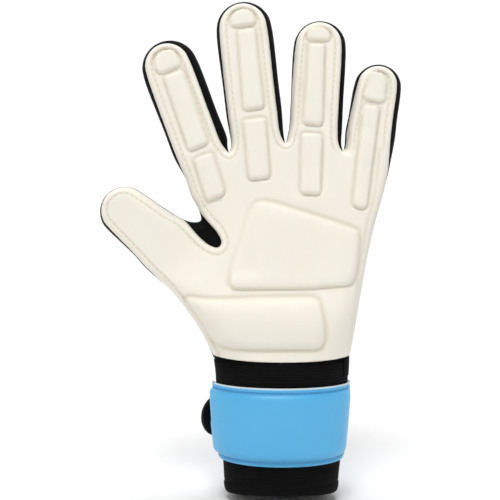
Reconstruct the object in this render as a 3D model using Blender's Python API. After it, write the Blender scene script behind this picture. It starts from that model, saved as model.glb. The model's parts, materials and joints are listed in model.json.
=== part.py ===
"""Left-hand goalkeeper glove, modelled upright and open-handed from the panels that it is sewn from.

Frame: metres, +Z from the wrist to the fingertips, the palm faces -Y and the thumb points to -X.
The origin is the centre of the wrist opening, in the plane of the hem.
"""
from dataclasses import dataclass
from math import cos, pi, radians, sin, tan

import bmesh
import bpy
from mathutils import Matrix, Vector

OBJECT_NAME = "goalkeeper_glove"

# Overall sizes. The flat pattern is drawn at PATTERN_WIDTH and PATTERN_LENGTH and graded to these.
PALM_WIDTH = 0.108
PALM_LENGTH = 0.110
CUFF_LENGTH = 0.077
FINGER_DEPTH = 0.024
PATTERN_WIDTH = 0.108
PATTERN_LENGTH = 0.110

# Layers of the hand, counted from the palm face and from the back face inwards
LATEX = 0.0040
LINING = 0.0014
BACK = 0.0040
GUSSET_WALL = 0.0020
GAP = 0.0003

# Body of the hand, whose depth grows from the knuckles to the wrist
WRIST_EDGE_DEPTH = 0.0090
EDGE_RISE = 0.25
CROWN_POWER = 1.3
KNUCKLE_HALF_WIDTH = 0.060
KNUCKLE_SHARE = 0.955
GRID_COLUMNS = 14
GRID_ROWS = 12

# Flex grooves of the fingers
GROOVE_HALF_ANGLE = radians(30)
GROOVE_MARGIN = 0.002
FINGER_CHAMFER = 0.0012
TIP_STEPS = 12

# Wrist: a tapering oval sleeve, given by its half axes at the palm's lower edge
WRIST_HALF_WIDTH = 0.0370
WRIST_HALF_DEPTH = 0.0244
HEM_SHRINK = 0.186
SLEEVE_WALL = 0.0020
HEM_HEIGHT = 0.0080
HEM_ROLL = 0.0012
ARC_STEP = radians(9)

# Strap, wound over the sleeve: heights above the hem, thicknesses and where it starts, folds and ends
STRAP_LOW = 0.0200
STRAP_HIGH = 0.0640
STRAP_FLANGE = 0.0045
STRAP_BAND = 0.0023
STRAP_FIELD = 0.0020
STRAP_CHAMFER = 0.0006
BINDING_HEIGHT = 0.0013
BINDING_THICK = 0.0014
SEWN_ANGLE = radians(-178)
FOLD_ANGLE = radians(20)
FREE_ANGLE = radians(140)
PATCH_THICK = 0.0010
PATCH_MARGIN = 0.0060
PATCH_START = radians(62)
PATCH_END = radians(136)
RAMP_ANGLE = radians(36)

# Pull tab
TAB_RADIUS = 0.0119
TAB_STRAIGHT = 0.0050
TAB_THICK = 0.0020
TAB_TURN = radians(35)

# Backhand pad
PAD_RAISE = 0.0022


@dataclass(frozen=True)
class Digit:
    """A finger or the thumb, placed on the flat pattern at its root groove."""

    name: str
    root: tuple
    tilt: float
    root_half: float
    tip_radius: float
    base_length: float
    tip_length: float
    left_reveal: float
    right_reveal: float


THUMB = Digit("thumb", (-0.0635, 0.0615), radians(51.2), 0.0168, 0.0137, 0.0180, 0.0232, 0.0006, 0.0006)
INDEX = Digit("index", (-0.0438, 0.1133), radians(20.9), 0.0143, 0.0154, 0.0300, 0.0317, 0.0016, 0.0044)
MIDDLE = Digit("middle", (-0.0147, 0.1325), radians(6.9), 0.0141, 0.0152, 0.0290, 0.0317, 0.0012, 0.0030)
RING = Digit("ring", (0.0188, 0.1243), radians(-2.9), 0.0144, 0.0142, 0.0280, 0.0302, 0.0006, 0.0027)
PINKY = Digit("pinky", (0.0486, 0.1208), radians(-8.8), 0.0135, 0.0127, 0.0187, 0.0197, 0.0013, 0.0027)
DIGITS = (THUMB, INDEX, MIDDLE, RING, PINKY)

# Flat pattern of the hand, as (x, height above the palm's lower edge)
THUMB_SIDE = ((-0.0440, 0.0150), (-0.0574, 0.0333))
LATEX_WEB = ((-0.0444, 0.0646), (-0.0385, 0.0601), (-0.0340, 0.0591), (-0.0322, 0.0618), (-0.0342, 0.0670),
             (-0.0400, 0.0738))
BACK_WEB = ((-0.0485, 0.0736), (-0.0437, 0.0739))
INDEX_SIDE = ((-0.0447, 0.0797), (-0.0490, 0.0875), (-0.0520, 0.0965))
PINKY_SIDE = ((0.0574, 0.0963), (0.0501, 0.0689), (0.0439, 0.0394))
CROTCHES = ((-0.0283, 0.1110), (0.0025, 0.1162), (0.0338, 0.1115))
CROTCH_HALF = 0.0010
CROTCH_SIDE = 0.0040
LEAD = 0.0035
WRIST_LEAD = Vector((0, LEAD))
PAD_OUTLINE = ((-0.0300, 0.0420), (-0.0360, 0.0900), (-0.0200, 0.1060), (0.0080, 0.1100), (0.0380, 0.1040),
               (0.0440, 0.0880), (0.0340, 0.0400))

LATEX_CREAM = (0.90, 0.87, 0.78)
KNIT_BLACK = (0.012, 0.012, 0.013)
STRAP_BLUE = (0.10, 0.44, 0.75)
BINDING_PALE = (0.55, 0.70, 0.78)
FOAM_WHITE = (0.80, 0.79, 0.76)

WIDTH_GRADE = PALM_WIDTH / PATTERN_WIDTH
LENGTH_GRADE = PALM_LENGTH / PATTERN_LENGTH
PALM_PLATE = LATEX + GAP + LINING
HINGE_Y = PALM_PLATE + GAP / 2 - FINGER_DEPTH / 2
KNUCKLE_Z = CUFF_LENGTH + KNUCKLE_SHARE * PALM_LENGTH
PLAN_REACH = FINGER_DEPTH + WRIST_HALF_DEPTH
PLANE_XZ = Matrix.Rotation(pi / 2, 4, "X")
PLANE_YZ = Matrix(((0, 0, 1, 0), (1, 0, 0, 0), (0, 1, 0, 0), (0, 0, 0, 1)))
PLANE_XY = Matrix.Identity(4)


# ---------------------------------------------------------------------------------------------------------
# Scene and object helpers


def clear_scene():
    """Remove every object that the file starts with."""
    for item in list(bpy.data.objects):
        bpy.data.objects.remove(item, do_unlink=True)


def new_collection(name):
    """Add a collection to the scene."""
    collection = bpy.data.collections.new(name)
    bpy.context.scene.collection.children.link(collection)
    return collection


def finish(part, colour, roughness):
    """Give a part its own plain material."""
    material = bpy.data.materials.new(part.name + "_finish")
    material.use_nodes = True
    shader = material.node_tree.nodes["Principled BSDF"]
    shader.inputs["Base Color"].default_value = (*colour, 1.0)
    shader.inputs["Roughness"].default_value = roughness
    shader.inputs["Metallic"].default_value = 0.0
    part.data.materials.clear()
    part.data.materials.append(material)


def place(name, mesh, collection, pivot=None):
    """Add a mesh as a named object, on a pivot if it moves."""
    part = bpy.data.objects.new(name, mesh)
    collection.objects.link(part)
    part.parent = pivot
    return part


def as_guide(part):
    """Keep a cutter out of renders and show it as a wire."""
    part.hide_render = True
    part.display_type = "WIRE"
    return part


def boolean(part, other, operation):
    """Cut or trim a part with another object."""
    modifier = part.modifiers.new(operation.lower(), "BOOLEAN")
    modifier.operation = operation
    modifier.solver = "EXACT"
    modifier.object = other


def pivot_at(name, location, rotation, collection, parent=None):
    """Add an empty whose origin and axes a moving part turns about."""
    pivot = bpy.data.objects.new(name, None)
    pivot.empty_display_size = 0.01
    collection.objects.link(pivot)
    pivot.location = location
    pivot.rotation_euler = rotation
    pivot.parent = parent
    return pivot


def prism_mesh(name, outlines, plane, low, high, chamfer=0.0):
    """Extrude flat outlines between two heights above a plane, as a closed mesh."""
    curve = bpy.data.curves.new(name, "CURVE")
    curve.dimensions = "2D"
    curve.fill_mode = "BOTH"
    curve.extrude = (high - low) / 2 - chamfer
    curve.bevel_depth = chamfer
    curve.bevel_resolution = 0
    curve.offset = -chamfer
    for outline in outlines:
        spline = curve.splines.new("POLY")
        spline.points.add(len(outline) - 1)
        spline.use_cyclic_u = True
        for point, (u, v) in zip(spline.points, outline):
            point.co = (u, v, 0, 1)
    drawing = bpy.data.objects.new(name + "_drawing", curve)
    bpy.context.scene.collection.objects.link(drawing)
    evaluated = drawing.evaluated_get(bpy.context.evaluated_depsgraph_get())
    mesh = bpy.data.meshes.new_from_object(evaluated)
    bpy.data.objects.remove(drawing, do_unlink=True)
    solid = bmesh.new()
    solid.from_mesh(mesh)
    bmesh.ops.remove_doubles(solid, verts=solid.verts, dist=1e-6)
    bmesh.ops.recalc_face_normals(solid, faces=solid.faces)
    solid.to_mesh(mesh)
    solid.free()
    mesh.transform(plane @ Matrix.Translation((0, 0, (low + high) / 2)))
    return mesh


# ---------------------------------------------------------------------------------------------------------
# Pattern geometry, all in the (x, z) plane


def graded(point):
    """Scale a pattern point to the glove's size and lift it above the cuff."""
    return Vector((point[0] * WIDTH_GRADE, CUFF_LENGTH + point[1] * LENGTH_GRADE))


def digit_axes(digit):
    """Return a digit's root, its direction and its lateral direction."""
    along = Vector((-sin(digit.tilt), cos(digit.tilt)))
    lateral = Vector((cos(digit.tilt), sin(digit.tilt)))
    return graded(digit.root), along, lateral


def root_corners(digit, reveal=False):
    """Return the left and right ends of a digit's root line, just below its groove."""
    root, along, lateral = digit_axes(digit)
    half = digit.root_half * WIDTH_GRADE
    left = half - (digit.left_reveal if reveal else 0)
    right = half - (digit.right_reveal if reveal else 0)
    line = root - along * GAP / 2
    return line - lateral * left, line + lateral * right


def smooth_run(points, steps=3):
    """Pass a smooth line through points, with the given number of steps between each two."""
    ends = [2 * points[0] - points[1], *points, 2 * points[-1] - points[-2]]
    line = []
    for first, start, end, last in zip(ends, ends[1:], ends[2:], ends[3:]):
        for step in range(steps):
            t = step / steps
            pull = (end - first) * t + (2 * first - 5 * start + 4 * end - last) * t * t
            pull += (3 * start - 3 * end + last - first) * t ** 3
            line.append(start + pull / 2)
    line.append(points[-1])
    return line


def inset_run(points, distance):
    """Move an open line to its right by a distance."""
    moved = []
    for number, point in enumerate(points):
        before = points[max(number - 1, 0)]
        after = points[min(number + 1, len(points) - 1)]
        along = (after - before).normalized()
        moved.append(point + distance * Vector((along.y, -along.x)))
    return moved


def lead_point(corner, digit):
    """Return the point where an edge turns square to a digit, just below its root line."""
    return corner - LEAD * digit_axes(digit)[1]


def crotch_run(left_digit, right_digit, crotch, reveal=False):
    """Draw the edge round a crotch, from one digit's right corner to the next one's left corner."""
    start = root_corners(left_digit, reveal)[1]
    end = root_corners(right_digit, reveal)[0]
    low = graded(crotch)
    left = low + Vector((-CROTCH_HALF, CROTCH_SIDE))
    right = low + Vector((CROTCH_HALF, CROTCH_SIDE))
    return smooth_run([start, left, low, right, end])


def wrist_corner(side):
    """Return the end of the palm's lower edge, where it meets the sleeve; side is -1 or 1."""
    return Vector((side * WRIST_HALF_WIDTH, CUFF_LENGTH))


def thumb_side_run(reveal=False):
    """Draw the edge from the wrist to the thumb's lower corner."""
    start, end = wrist_corner(-1), root_corners(THUMB, reveal)[0]
    between = [graded(point) for point in THUMB_SIDE]
    return [start, *smooth_run([start + WRIST_LEAD, *between, lead_point(end, THUMB)]), end]


def index_side_run(reveal=False):
    """Draw the edge from the thumb web to the index finger's left corner."""
    start, end = graded(BACK_WEB[-1]), root_corners(INDEX, reveal)[0]
    between = [graded(point) for point in INDEX_SIDE]
    return [start, *smooth_run([*between, lead_point(end, INDEX)]), end]


def pinky_side_run(reveal=False):
    """Draw the edge from the little finger's right corner to the wrist."""
    start, end = root_corners(PINKY, reveal)[1], wrist_corner(1)
    between = [graded(point) for point in PINKY_SIDE]
    return [start, *smooth_run([lead_point(start, PINKY), *between, end + WRIST_LEAD]), end]


def web_run(points, reveal=False):
    """Draw the edge of the web, from the thumb's upper corner to the index finger's side."""
    start = root_corners(THUMB, reveal)[1]
    return smooth_run([start, *[graded(point) for point in points]])


def hand_outline(web, reveal=False):
    """Draw the whole hand: wrist, thumb, web, fingers and pinky side."""
    outline = thumb_side_run(reveal) + web_run(web, reveal) + index_side_run(reveal)[1:]
    fingers = (INDEX, MIDDLE, RING, PINKY)
    for left_digit, right_digit, crotch in zip(fingers, fingers[1:], CROTCHES):
        outline += crotch_run(left_digit, right_digit, crotch, reveal)
    return outline + pinky_side_run(reveal)


def band_outline(run, wall):
    """Draw a wall of even thickness along the inner side of an edge."""
    return run + inset_run(run, wall)[::-1]


# ---------------------------------------------------------------------------------------------------------
# The hand: domed layers trimmed to the pattern


def smooth_step(t):
    """Ease from 0 to 1."""
    t = min(1, max(0, t))
    return t * t * (3 - 2 * t)


def half_depth(x, z):
    """Return the distance from the hand's middle plane to its outer face."""
    rise = min(1, max(0, (z - CUFF_LENGTH) / (KNUCKLE_Z - CUFF_LENGTH)))
    edge_gain = smooth_step(rise / EDGE_RISE)
    edge = WRIST_EDGE_DEPTH + (FINGER_DEPTH / 2 - WRIST_EDGE_DEPTH) * edge_gain
    crown = (WRIST_HALF_DEPTH - WRIST_EDGE_DEPTH) * (1 - rise) ** CROWN_POWER
    knuckle_half = KNUCKLE_HALF_WIDTH * WIDTH_GRADE
    half_width = WRIST_HALF_WIDTH + (knuckle_half - WRIST_HALF_WIDTH) * rise
    across = min(1, abs(x) / half_width)
    return edge + crown * (1 - across * across)


def hand_layer(name, outline, front, back, collection, cutters):
    """Make a domed layer between two depth functions, trimmed to an outline of the pattern.

    Every layer starts from the same grid over the whole hand, so their facets lie parallel.
    """
    hand = hand_outline(BACK_WEB)
    margin = Vector((LATEX, LATEX))
    low = Vector((min(p.x for p in hand), min(p.y for p in hand))) - margin
    high = Vector((max(p.x for p in hand), max(p.y for p in hand))) + margin
    centre, span = (low + high) / 2, (high - low) / 2
    solid = bmesh.new()
    bmesh.ops.create_grid(solid, x_segments=GRID_COLUMNS, y_segments=GRID_ROWS, size=1)
    bmesh.ops.triangulate(solid, faces=solid.faces)
    for vert in solid.verts:
        x, z = centre.x + vert.co.x * span.x, centre.y + vert.co.y * span.y
        vert.co = (x, 0, z)
    new = bmesh.ops.extrude_face_region(solid, geom=solid.faces[:])["geom"]
    rear = {item for item in new if isinstance(item, bmesh.types.BMVert)}
    for vert in solid.verts:
        depth = back if vert in rear else front
        vert.co.y = depth(vert.co.x, vert.co.z)
    bmesh.ops.recalc_face_normals(solid, faces=solid.faces)
    mesh = bpy.data.meshes.new(name)
    solid.to_mesh(mesh)
    solid.free()
    part = place(name, mesh, collection)
    plan = prism_mesh(name + "_plan", [outline], PLANE_XZ, -PLAN_REACH, PLAN_REACH)
    boolean(part, as_guide(place(name + "_plan", plan, cutters)), "INTERSECT")
    return part


def build_hand(collection, cutters, grooves):
    """Make the palm, the back of the hand and the gussets between them."""
    latex_edge = hand_outline(LATEX_WEB, reveal=True)
    back_edge = hand_outline(BACK_WEB)

    def from_palm(inset):
        return lambda x, z: inset - half_depth(x, z)

    def from_back(inset):
        return lambda x, z: half_depth(x, z) - inset

    latex = hand_layer("palm_latex", latex_edge, from_palm(0), from_palm(LATEX), collection, cutters)
    finish(latex, LATEX_CREAM, 0.75)
    lining = hand_layer("palm_lining", latex_edge, from_palm(LATEX + GAP), from_palm(PALM_PLATE),
                        collection, cutters)
    finish(lining, FOAM_WHITE, 0.9)
    for groove in grooves:
        boolean(latex, groove, "DIFFERENCE")
        boolean(lining, groove, "DIFFERENCE")
    back = hand_layer("backhand_panel", back_edge, from_back(BACK), from_back(0), collection, cutters)
    finish(back, KNIT_BLACK, 0.8)
    pad_edge = smooth_run([graded(point) for point in (*PAD_OUTLINE, PAD_OUTLINE[0])])[:-1]
    pad = hand_layer("backhand_pad", pad_edge, from_back(-GAP), from_back(-GAP - PAD_RAISE),
                     collection, cutters)
    finish(pad, KNIT_BLACK, 0.6)

    inner_front, inner_back = from_palm(PALM_PLATE + GAP), from_back(BACK + GAP)
    runs = {
        "thumb_side_gusset": thumb_side_run(),
        "index_side_gusset": index_side_run(),
        "pinky_side_gusset": pinky_side_run(),
        "index_middle_gusset": crotch_run(INDEX, MIDDLE, CROTCHES[0]),
        "middle_ring_gusset": crotch_run(MIDDLE, RING, CROTCHES[1]),
        "ring_pinky_gusset": crotch_run(RING, PINKY, CROTCHES[2]),
    }
    for name, run in runs.items():
        edge = band_outline(run, GUSSET_WALL)
        finish(hand_layer(name, edge, inner_front, inner_back, collection, cutters), KNIT_BLACK, 0.85)


def build_thumb_web(collection, cutters):
    """Make the sloping membrane that closes the cut-out between thumb and index finger."""
    web = web_run(LATEX_WEB)
    low = min(point.y for point in web) + GUSSET_WALL
    high = max(point.y for point in web_run(BACK_WEB)) - GUSSET_WALL
    half = FINGER_DEPTH / 2
    front, back = PALM_PLATE + GAP - half, half - BACK - GAP
    slope = [(front, low), (back, high), (back, high + GUSSET_WALL), (front, low + GUSSET_WALL)]
    reach = 2 * abs(THUMB.root[0]) * WIDTH_GRADE
    membrane = place("thumb_web_gusset", prism_mesh("web", [slope], PLANE_YZ, -reach, 0), collection)
    top = index_side_run()[0] - Vector((GUSSET_WALL, 0))
    plan = inset_run(web, -GUSSET_WALL)[1:-1] + [top]
    cutter = place("web_plan", prism_mesh("web_plan", [plan], PLANE_XZ, -PLAN_REACH, PLAN_REACH), cutters)
    boolean(membrane, as_guide(cutter), "INTERSECT")
    finish(membrane, KNIT_BLACK, 0.85)


# ---------------------------------------------------------------------------------------------------------
# Fingers and thumb


def groove_mesh(half_width):
    """Make the wedge that a flex groove takes out of the palm plates, with its apex on the hinge axis."""
    depth = PALM_PLATE + GROOVE_MARGIN
    rise = depth * tan(GROOVE_HALF_ANGLE)
    wedge = [(GAP / 4, 0), (-depth, rise), (-depth, -rise)]
    return prism_mesh("groove", [wedge], PLANE_YZ, -half_width, half_width)


def tip_outline(left, right, length, radius, end_inset=0.0):
    """Draw a fingertip: straight sides from its groove to a round end."""
    middle = (right - left) / 2
    round_radius = radius - (2 * radius - left - right) / 2
    centre_z = length - radius
    outline = [Vector((-left, GAP / 2))]
    for step in range(TIP_STEPS + 1):
        angle = pi - pi * step / TIP_STEPS
        rise = (radius - end_inset) * sin(angle)
        outline.append(Vector((middle + round_radius * cos(angle), centre_z + rise)))
    outline.append(Vector((right, GAP / 2)))
    return outline


def build_base(digit, pivot, grooves, collection):
    """Make the base segment: palm plate, back plate and the two side gussets."""
    low, high = GAP / 2, digit.base_length - GAP / 2
    root_half = digit.root_half * WIDTH_GRADE
    end_half = digit.tip_radius * WIDTH_GRADE
    palm_low, palm_high = -PALM_PLATE - GAP / 2, -GAP / 2
    wall_low, wall_high = GAP / 2, FINGER_DEPTH / 2 - BACK - GAP - HINGE_Y
    back_low, back_high = wall_high + GAP, FINGER_DEPTH / 2 - HINGE_Y
    latex_edge = [Vector((digit.left_reveal - root_half, low)), Vector((digit.left_reveal - end_half, high)),
                  Vector((end_half - digit.right_reveal, high)), Vector((root_half - digit.right_reveal, low))]
    back_edge = [Vector((-root_half, low)), Vector((-end_half, high)),
                 Vector((end_half, high)), Vector((root_half, low))]
    latex = place(digit.name + "_base_latex",
                  prism_mesh("latex", [latex_edge], PLANE_XZ, -palm_high, -palm_low, FINGER_CHAMFER),
                  collection, pivot)
    for groove in grooves:
        boolean(latex, groove, "DIFFERENCE")
    finish(latex, LATEX_CREAM, 0.75)
    back = place(digit.name + "_base_back",
                 prism_mesh("back", [back_edge], PLANE_XZ, -back_high, -back_low, FINGER_CHAMFER),
                 collection, pivot)
    finish(back, KNIT_BLACK, 0.8)
    for side, sign in (("left", -1), ("right", 1)):
        wall = [Vector((sign * root_half, low)), Vector((sign * end_half, high)),
                Vector((sign * (end_half - GUSSET_WALL), high)),
                Vector((sign * (root_half - GUSSET_WALL), low))]
        mesh = prism_mesh("wall", [wall], PLANE_XZ, -wall_high, -wall_low)
        finish(place(f"{digit.name}_base_gusset_{side}", mesh, collection, pivot), KNIT_BLACK, 0.85)


def build_tip(digit, pivot, groove, collection):
    """Make the tip segment: palm plate, back plate and the gusset that runs round the end."""
    half = digit.tip_radius * WIDTH_GRADE
    palm_low, palm_high = -PALM_PLATE - GAP / 2, -GAP / 2
    wall_low, wall_high = GAP / 2, FINGER_DEPTH / 2 - BACK - GAP - HINGE_Y
    back_low, back_high = wall_high + GAP, FINGER_DEPTH / 2 - HINGE_Y
    reveal = (digit.left_reveal + digit.right_reveal) / 2
    latex_edge = tip_outline(half - digit.left_reveal, half - digit.right_reveal, digit.tip_length, half,
                             reveal)
    outer = tip_outline(half, half, digit.tip_length, half)
    latex = place(digit.name + "_tip_latex",
                  prism_mesh("latex", [latex_edge], PLANE_XZ, -palm_high, -palm_low, FINGER_CHAMFER),
                  collection, pivot)
    boolean(latex, groove, "DIFFERENCE")
    finish(latex, LATEX_CREAM, 0.75)
    back = place(digit.name + "_tip_back",
                 prism_mesh("back", [outer], PLANE_XZ, -back_high, -back_low, FINGER_CHAMFER),
                 collection, pivot)
    finish(back, KNIT_BLACK, 0.8)
    wall = prism_mesh("wall", [band_outline(outer, GUSSET_WALL)], PLANE_XZ, -wall_high, -wall_low)
    finish(place(digit.name + "_tip_gusset", wall, collection, pivot), KNIT_BLACK, 0.85)


def build_digits(collection, cutters):
    """Make the fingers and the thumb, and return the wedges that cut the palm at their roots."""
    root_grooves = []
    for digit in DIGITS:
        root = digit_axes(digit)[0]
        base = pivot_at(digit.name + "_base_pivot", (root.x, HINGE_Y, root.y), (0, -digit.tilt, 0), cutters)
        tip = pivot_at(digit.name + "_tip_pivot", (0, 0, digit.base_length), (0, 0, 0), cutters, base)
        reach = (digit.root_half + digit.tip_radius) * WIDTH_GRADE / 2 + GROOVE_MARGIN
        grooves = []
        for label, pivot in (("root", base), ("joint", tip)):
            wedge = place(f"{digit.name}_{label}_groove", groove_mesh(reach), cutters, pivot)
            grooves.append(as_guide(wedge))
        build_base(digit, base, grooves, collection)
        build_tip(digit, tip, grooves[1], collection)
        root_grooves.append(grooves[0])
    return root_grooves


# ---------------------------------------------------------------------------------------------------------
# Wrist: sleeve, hem, strap and tab


def wrist_scale(z):
    """Return how far the wrist has tapered at a height."""
    return 1 - HEM_SHRINK * (CUFF_LENGTH - z) / CUFF_LENGTH


def wrist_point(angle, offset):
    """Return a point outside the sleeve by an offset, before the taper."""
    return Vector(((WRIST_HALF_WIDTH + offset) * cos(angle), (WRIST_HALF_DEPTH + offset) * sin(angle)))


def arc_points(start, end, offset):
    """Return points along the wrist's oval; offset is a function of the angle."""
    steps = max(1, round(abs(end - start) / ARC_STEP))
    angles = [start + (end - start) * step / steps for step in range(steps + 1)]
    return [wrist_point(angle, offset(angle)) for angle in angles]


def taper(mesh):
    """Draw a wrist piece in towards the hem."""
    for vert in mesh.vertices:
        scale = wrist_scale(vert.co.z)
        vert.co.x *= scale
        vert.co.y *= scale
    return mesh


def wrist_ring(name, inner, outer, low, high, collection):
    """Make a closed ring between two offsets from the sleeve's outer face."""
    rings = [arc_points(0, 2 * pi, lambda angle, offset=offset: offset)[:-1] for offset in (inner, outer)]
    return place(name, taper(prism_mesh(name, rings, PLANE_XY, low, high)), collection)


def wrist_band(name, angles, inner, thick, heights, collection, pivot=None, chamfer=0.0):
    """Make a band along part of the oval; inner is its offset as a function of the angle."""
    near = arc_points(*angles, inner)
    far = arc_points(*angles, lambda angle: inner(angle) + thick)
    mesh = taper(prism_mesh(name, [near + far[::-1]], PLANE_XY, *heights, chamfer))
    if pivot:
        mesh.transform(pivot.matrix_basis.inverted())
    return place(name, mesh, collection, pivot)


def build_sleeve(collection):
    """Make the elastic sleeve, its hem and the loop patch sewn to its back."""
    hem = wrist_ring("cuff_hem", -SLEEVE_WALL, HEM_ROLL, 0, HEM_HEIGHT, collection)
    finish(hem, KNIT_BLACK, 0.9)
    sleeve = wrist_ring("cuff_sleeve", -SLEEVE_WALL, 0, HEM_HEIGHT + GAP, CUFF_LENGTH - GAP, collection)
    finish(sleeve, KNIT_BLACK, 0.9)
    heights = (STRAP_LOW + PATCH_MARGIN, STRAP_HIGH - PATCH_MARGIN)
    loop = wrist_band("loop_patch", (PATCH_START, PATCH_END), lambda angle: GAP, PATCH_THICK, heights,
                      collection)
    finish(loop, KNIT_BLACK, 1.0)


def strap_layers(prefix, angles, seat, collection, pivot=None):
    """Make a length of strap: flanged band, raised field and the binding along the top edge."""
    band = wrist_band(prefix + "_band", angles, seat, STRAP_BAND, (STRAP_LOW, STRAP_HIGH), collection,
                      pivot, STRAP_CHAMFER)
    finish(band, STRAP_BLUE, 0.5)
    heights = (STRAP_LOW + STRAP_FLANGE, STRAP_HIGH - STRAP_FLANGE)
    field = wrist_band(prefix + "_field", angles, lambda angle: seat(angle) + STRAP_BAND + GAP, STRAP_FIELD,
                       heights, collection, pivot, STRAP_CHAMFER)
    finish(field, STRAP_BLUE, 0.45)
    heights = (STRAP_HIGH + GAP, STRAP_HIGH + GAP + BINDING_HEIGHT)
    binding = wrist_band(prefix + "_binding", angles, seat, BINDING_THICK, heights, collection, pivot)
    finish(binding, BINDING_PALE, 0.6)


def build_strap(collection, cutters):
    """Make the fixed front of the strap and the free end, which folds open about the pinky side."""
    strap_layers("strap_front", (SEWN_ANGLE, FOLD_ANGLE - GAP / WRIST_HALF_WIDTH), lambda angle: GAP,
                 collection)

    outermost = GAP + STRAP_BAND + GAP + STRAP_FIELD
    fold = wrist_point(FOLD_ANGLE, outermost)
    middle_z = (STRAP_LOW + STRAP_HIGH) / 2
    at_fold = fold * wrist_scale(middle_z)
    lean = fold * HEM_SHRINK / CUFF_LENGTH
    direction = Vector((lean.x, lean.y, 1)).normalized()
    rotation = Vector((0, 0, 1)).rotation_difference(direction).to_euler()
    pivot = pivot_at("strap_end_pivot", (at_fold.x, at_fold.y, middle_z), rotation, cutters)

    lifted = 3 * GAP + 2 * PATCH_THICK

    def seat(angle):
        return GAP + lifted * smooth_step((angle - FOLD_ANGLE) / RAMP_ANGLE)

    strap_layers("strap_end", (FOLD_ANGLE + GAP / WRIST_HALF_WIDTH, FREE_ANGLE), seat, collection, pivot)
    heights = (STRAP_LOW + PATCH_MARGIN, STRAP_HIGH - PATCH_MARGIN)
    hook = wrist_band("hook_patch", (PATCH_START, PATCH_END), lambda angle: 2 * GAP + PATCH_THICK,
                      PATCH_THICK, heights, collection, pivot)
    finish(hook, KNIT_BLACK, 1.0)
    build_tab(seat(FREE_ANGLE), pivot, collection, cutters)


def build_tab(seat, strap_pivot, collection, cutters):
    """Make the half-round pull tab at the free end of the strap."""
    middle_z = (STRAP_LOW + STRAP_HIGH) / 2
    end = wrist_point(FREE_ANGLE, seat + STRAP_BAND) * wrist_scale(middle_z)
    along = Vector((-cos(TAB_TURN), -sin(TAB_TURN), 0))
    up = Vector((0, 0, 1))
    outward = up.cross(along) * -1
    frame = Matrix((along, up, outward)).transposed().to_4x4()
    origin = Vector((end.x, end.y, middle_z)) + along * (STRAP_CHAMFER + 2 * GAP)
    pivot = pivot_at("pull_tab_pivot", origin, (0, 0, 0), cutters, strap_pivot)
    pivot.matrix_parent_inverse = strap_pivot.matrix_basis.inverted()
    outline = [Vector((0, -TAB_RADIUS)), Vector((TAB_STRAIGHT, -TAB_RADIUS))]
    for step in range(1, TIP_STEPS):
        angle = pi * step / TIP_STEPS - pi / 2
        outline.append(Vector((TAB_STRAIGHT + TAB_RADIUS * cos(angle), TAB_RADIUS * sin(angle))))
    outline += [Vector((TAB_STRAIGHT, TAB_RADIUS)), Vector((0, TAB_RADIUS))]
    mesh = prism_mesh("tab", [outline], frame, -TAB_THICK, 0)
    finish(place("pull_tab", mesh, collection, pivot), KNIT_BLACK, 0.6)


def main():
    """Build the glove."""
    clear_scene()
    collection = new_collection(OBJECT_NAME)
    cutters = new_collection("cutters_and_pivots")
    grooves = build_digits(collection, cutters)
    build_hand(collection, cutters, grooves)
    build_thumb_web(collection, cutters)
    build_sleeve(collection)
    build_strap(collection, cutters)


main()
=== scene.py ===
"""Looks of a left-hand goalkeeper glove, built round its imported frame.

Metres, +Z from the wrist to the fingertips, the palm faces -Y and the thumb points to -X. Lengths that
are easier to read in millimetres are written as a number times MM.
"""
from __future__ import annotations

import json
import logging
import math
from dataclasses import dataclass, field
from enum import Enum
from typing import Any, Iterable, Sequence

import bmesh
import bpy
import numpy as np
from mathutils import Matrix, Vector, kdtree, noise
from mathutils.geometry import delaunay_2d_cdt


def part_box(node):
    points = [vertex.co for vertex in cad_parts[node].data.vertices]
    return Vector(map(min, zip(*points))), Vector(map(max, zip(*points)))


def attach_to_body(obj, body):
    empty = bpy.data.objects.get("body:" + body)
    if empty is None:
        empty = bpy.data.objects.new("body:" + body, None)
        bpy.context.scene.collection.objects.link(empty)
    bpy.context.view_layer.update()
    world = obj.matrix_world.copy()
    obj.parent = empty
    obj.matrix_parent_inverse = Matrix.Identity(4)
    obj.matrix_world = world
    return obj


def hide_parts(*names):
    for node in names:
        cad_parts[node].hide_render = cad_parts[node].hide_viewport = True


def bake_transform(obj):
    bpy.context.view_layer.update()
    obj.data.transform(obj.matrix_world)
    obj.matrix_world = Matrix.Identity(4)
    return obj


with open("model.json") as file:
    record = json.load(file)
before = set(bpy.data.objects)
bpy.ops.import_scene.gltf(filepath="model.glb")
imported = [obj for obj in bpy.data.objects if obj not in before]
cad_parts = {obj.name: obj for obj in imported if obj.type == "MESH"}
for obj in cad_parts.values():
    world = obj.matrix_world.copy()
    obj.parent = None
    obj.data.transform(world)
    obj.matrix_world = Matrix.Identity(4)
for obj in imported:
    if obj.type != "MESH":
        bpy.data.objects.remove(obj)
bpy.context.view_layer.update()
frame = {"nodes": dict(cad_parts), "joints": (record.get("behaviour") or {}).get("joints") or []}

LOG = logging.getLogger("glove")
MM = 0.001
HAND = "hand"
PALM_WARD = np.array((0.0, -1.0, 0.0))
BACK_WARD = np.array((0.0, 1.0, 0.0))
WAVE_PERIOD = 0.314  # the distance between the bands of a wave texture at scale 1
Array = Point = np.ndarray
Piece, Material = bpy.types.Object, bpy.types.Material
Tree, Node, Socket = bpy.types.NodeTree, bpy.types.Node, bpy.types.NodeSocket


# Numbers: easing, lines and distances in the flat pattern


def ease(value: Array | float) -> Array | float:
    """Ease from 0 to 1 as value goes from 0 to 1."""
    t = np.clip(value, 0.0, 1.0)
    return t * t * (3.0 - 2.0 * t)


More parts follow.
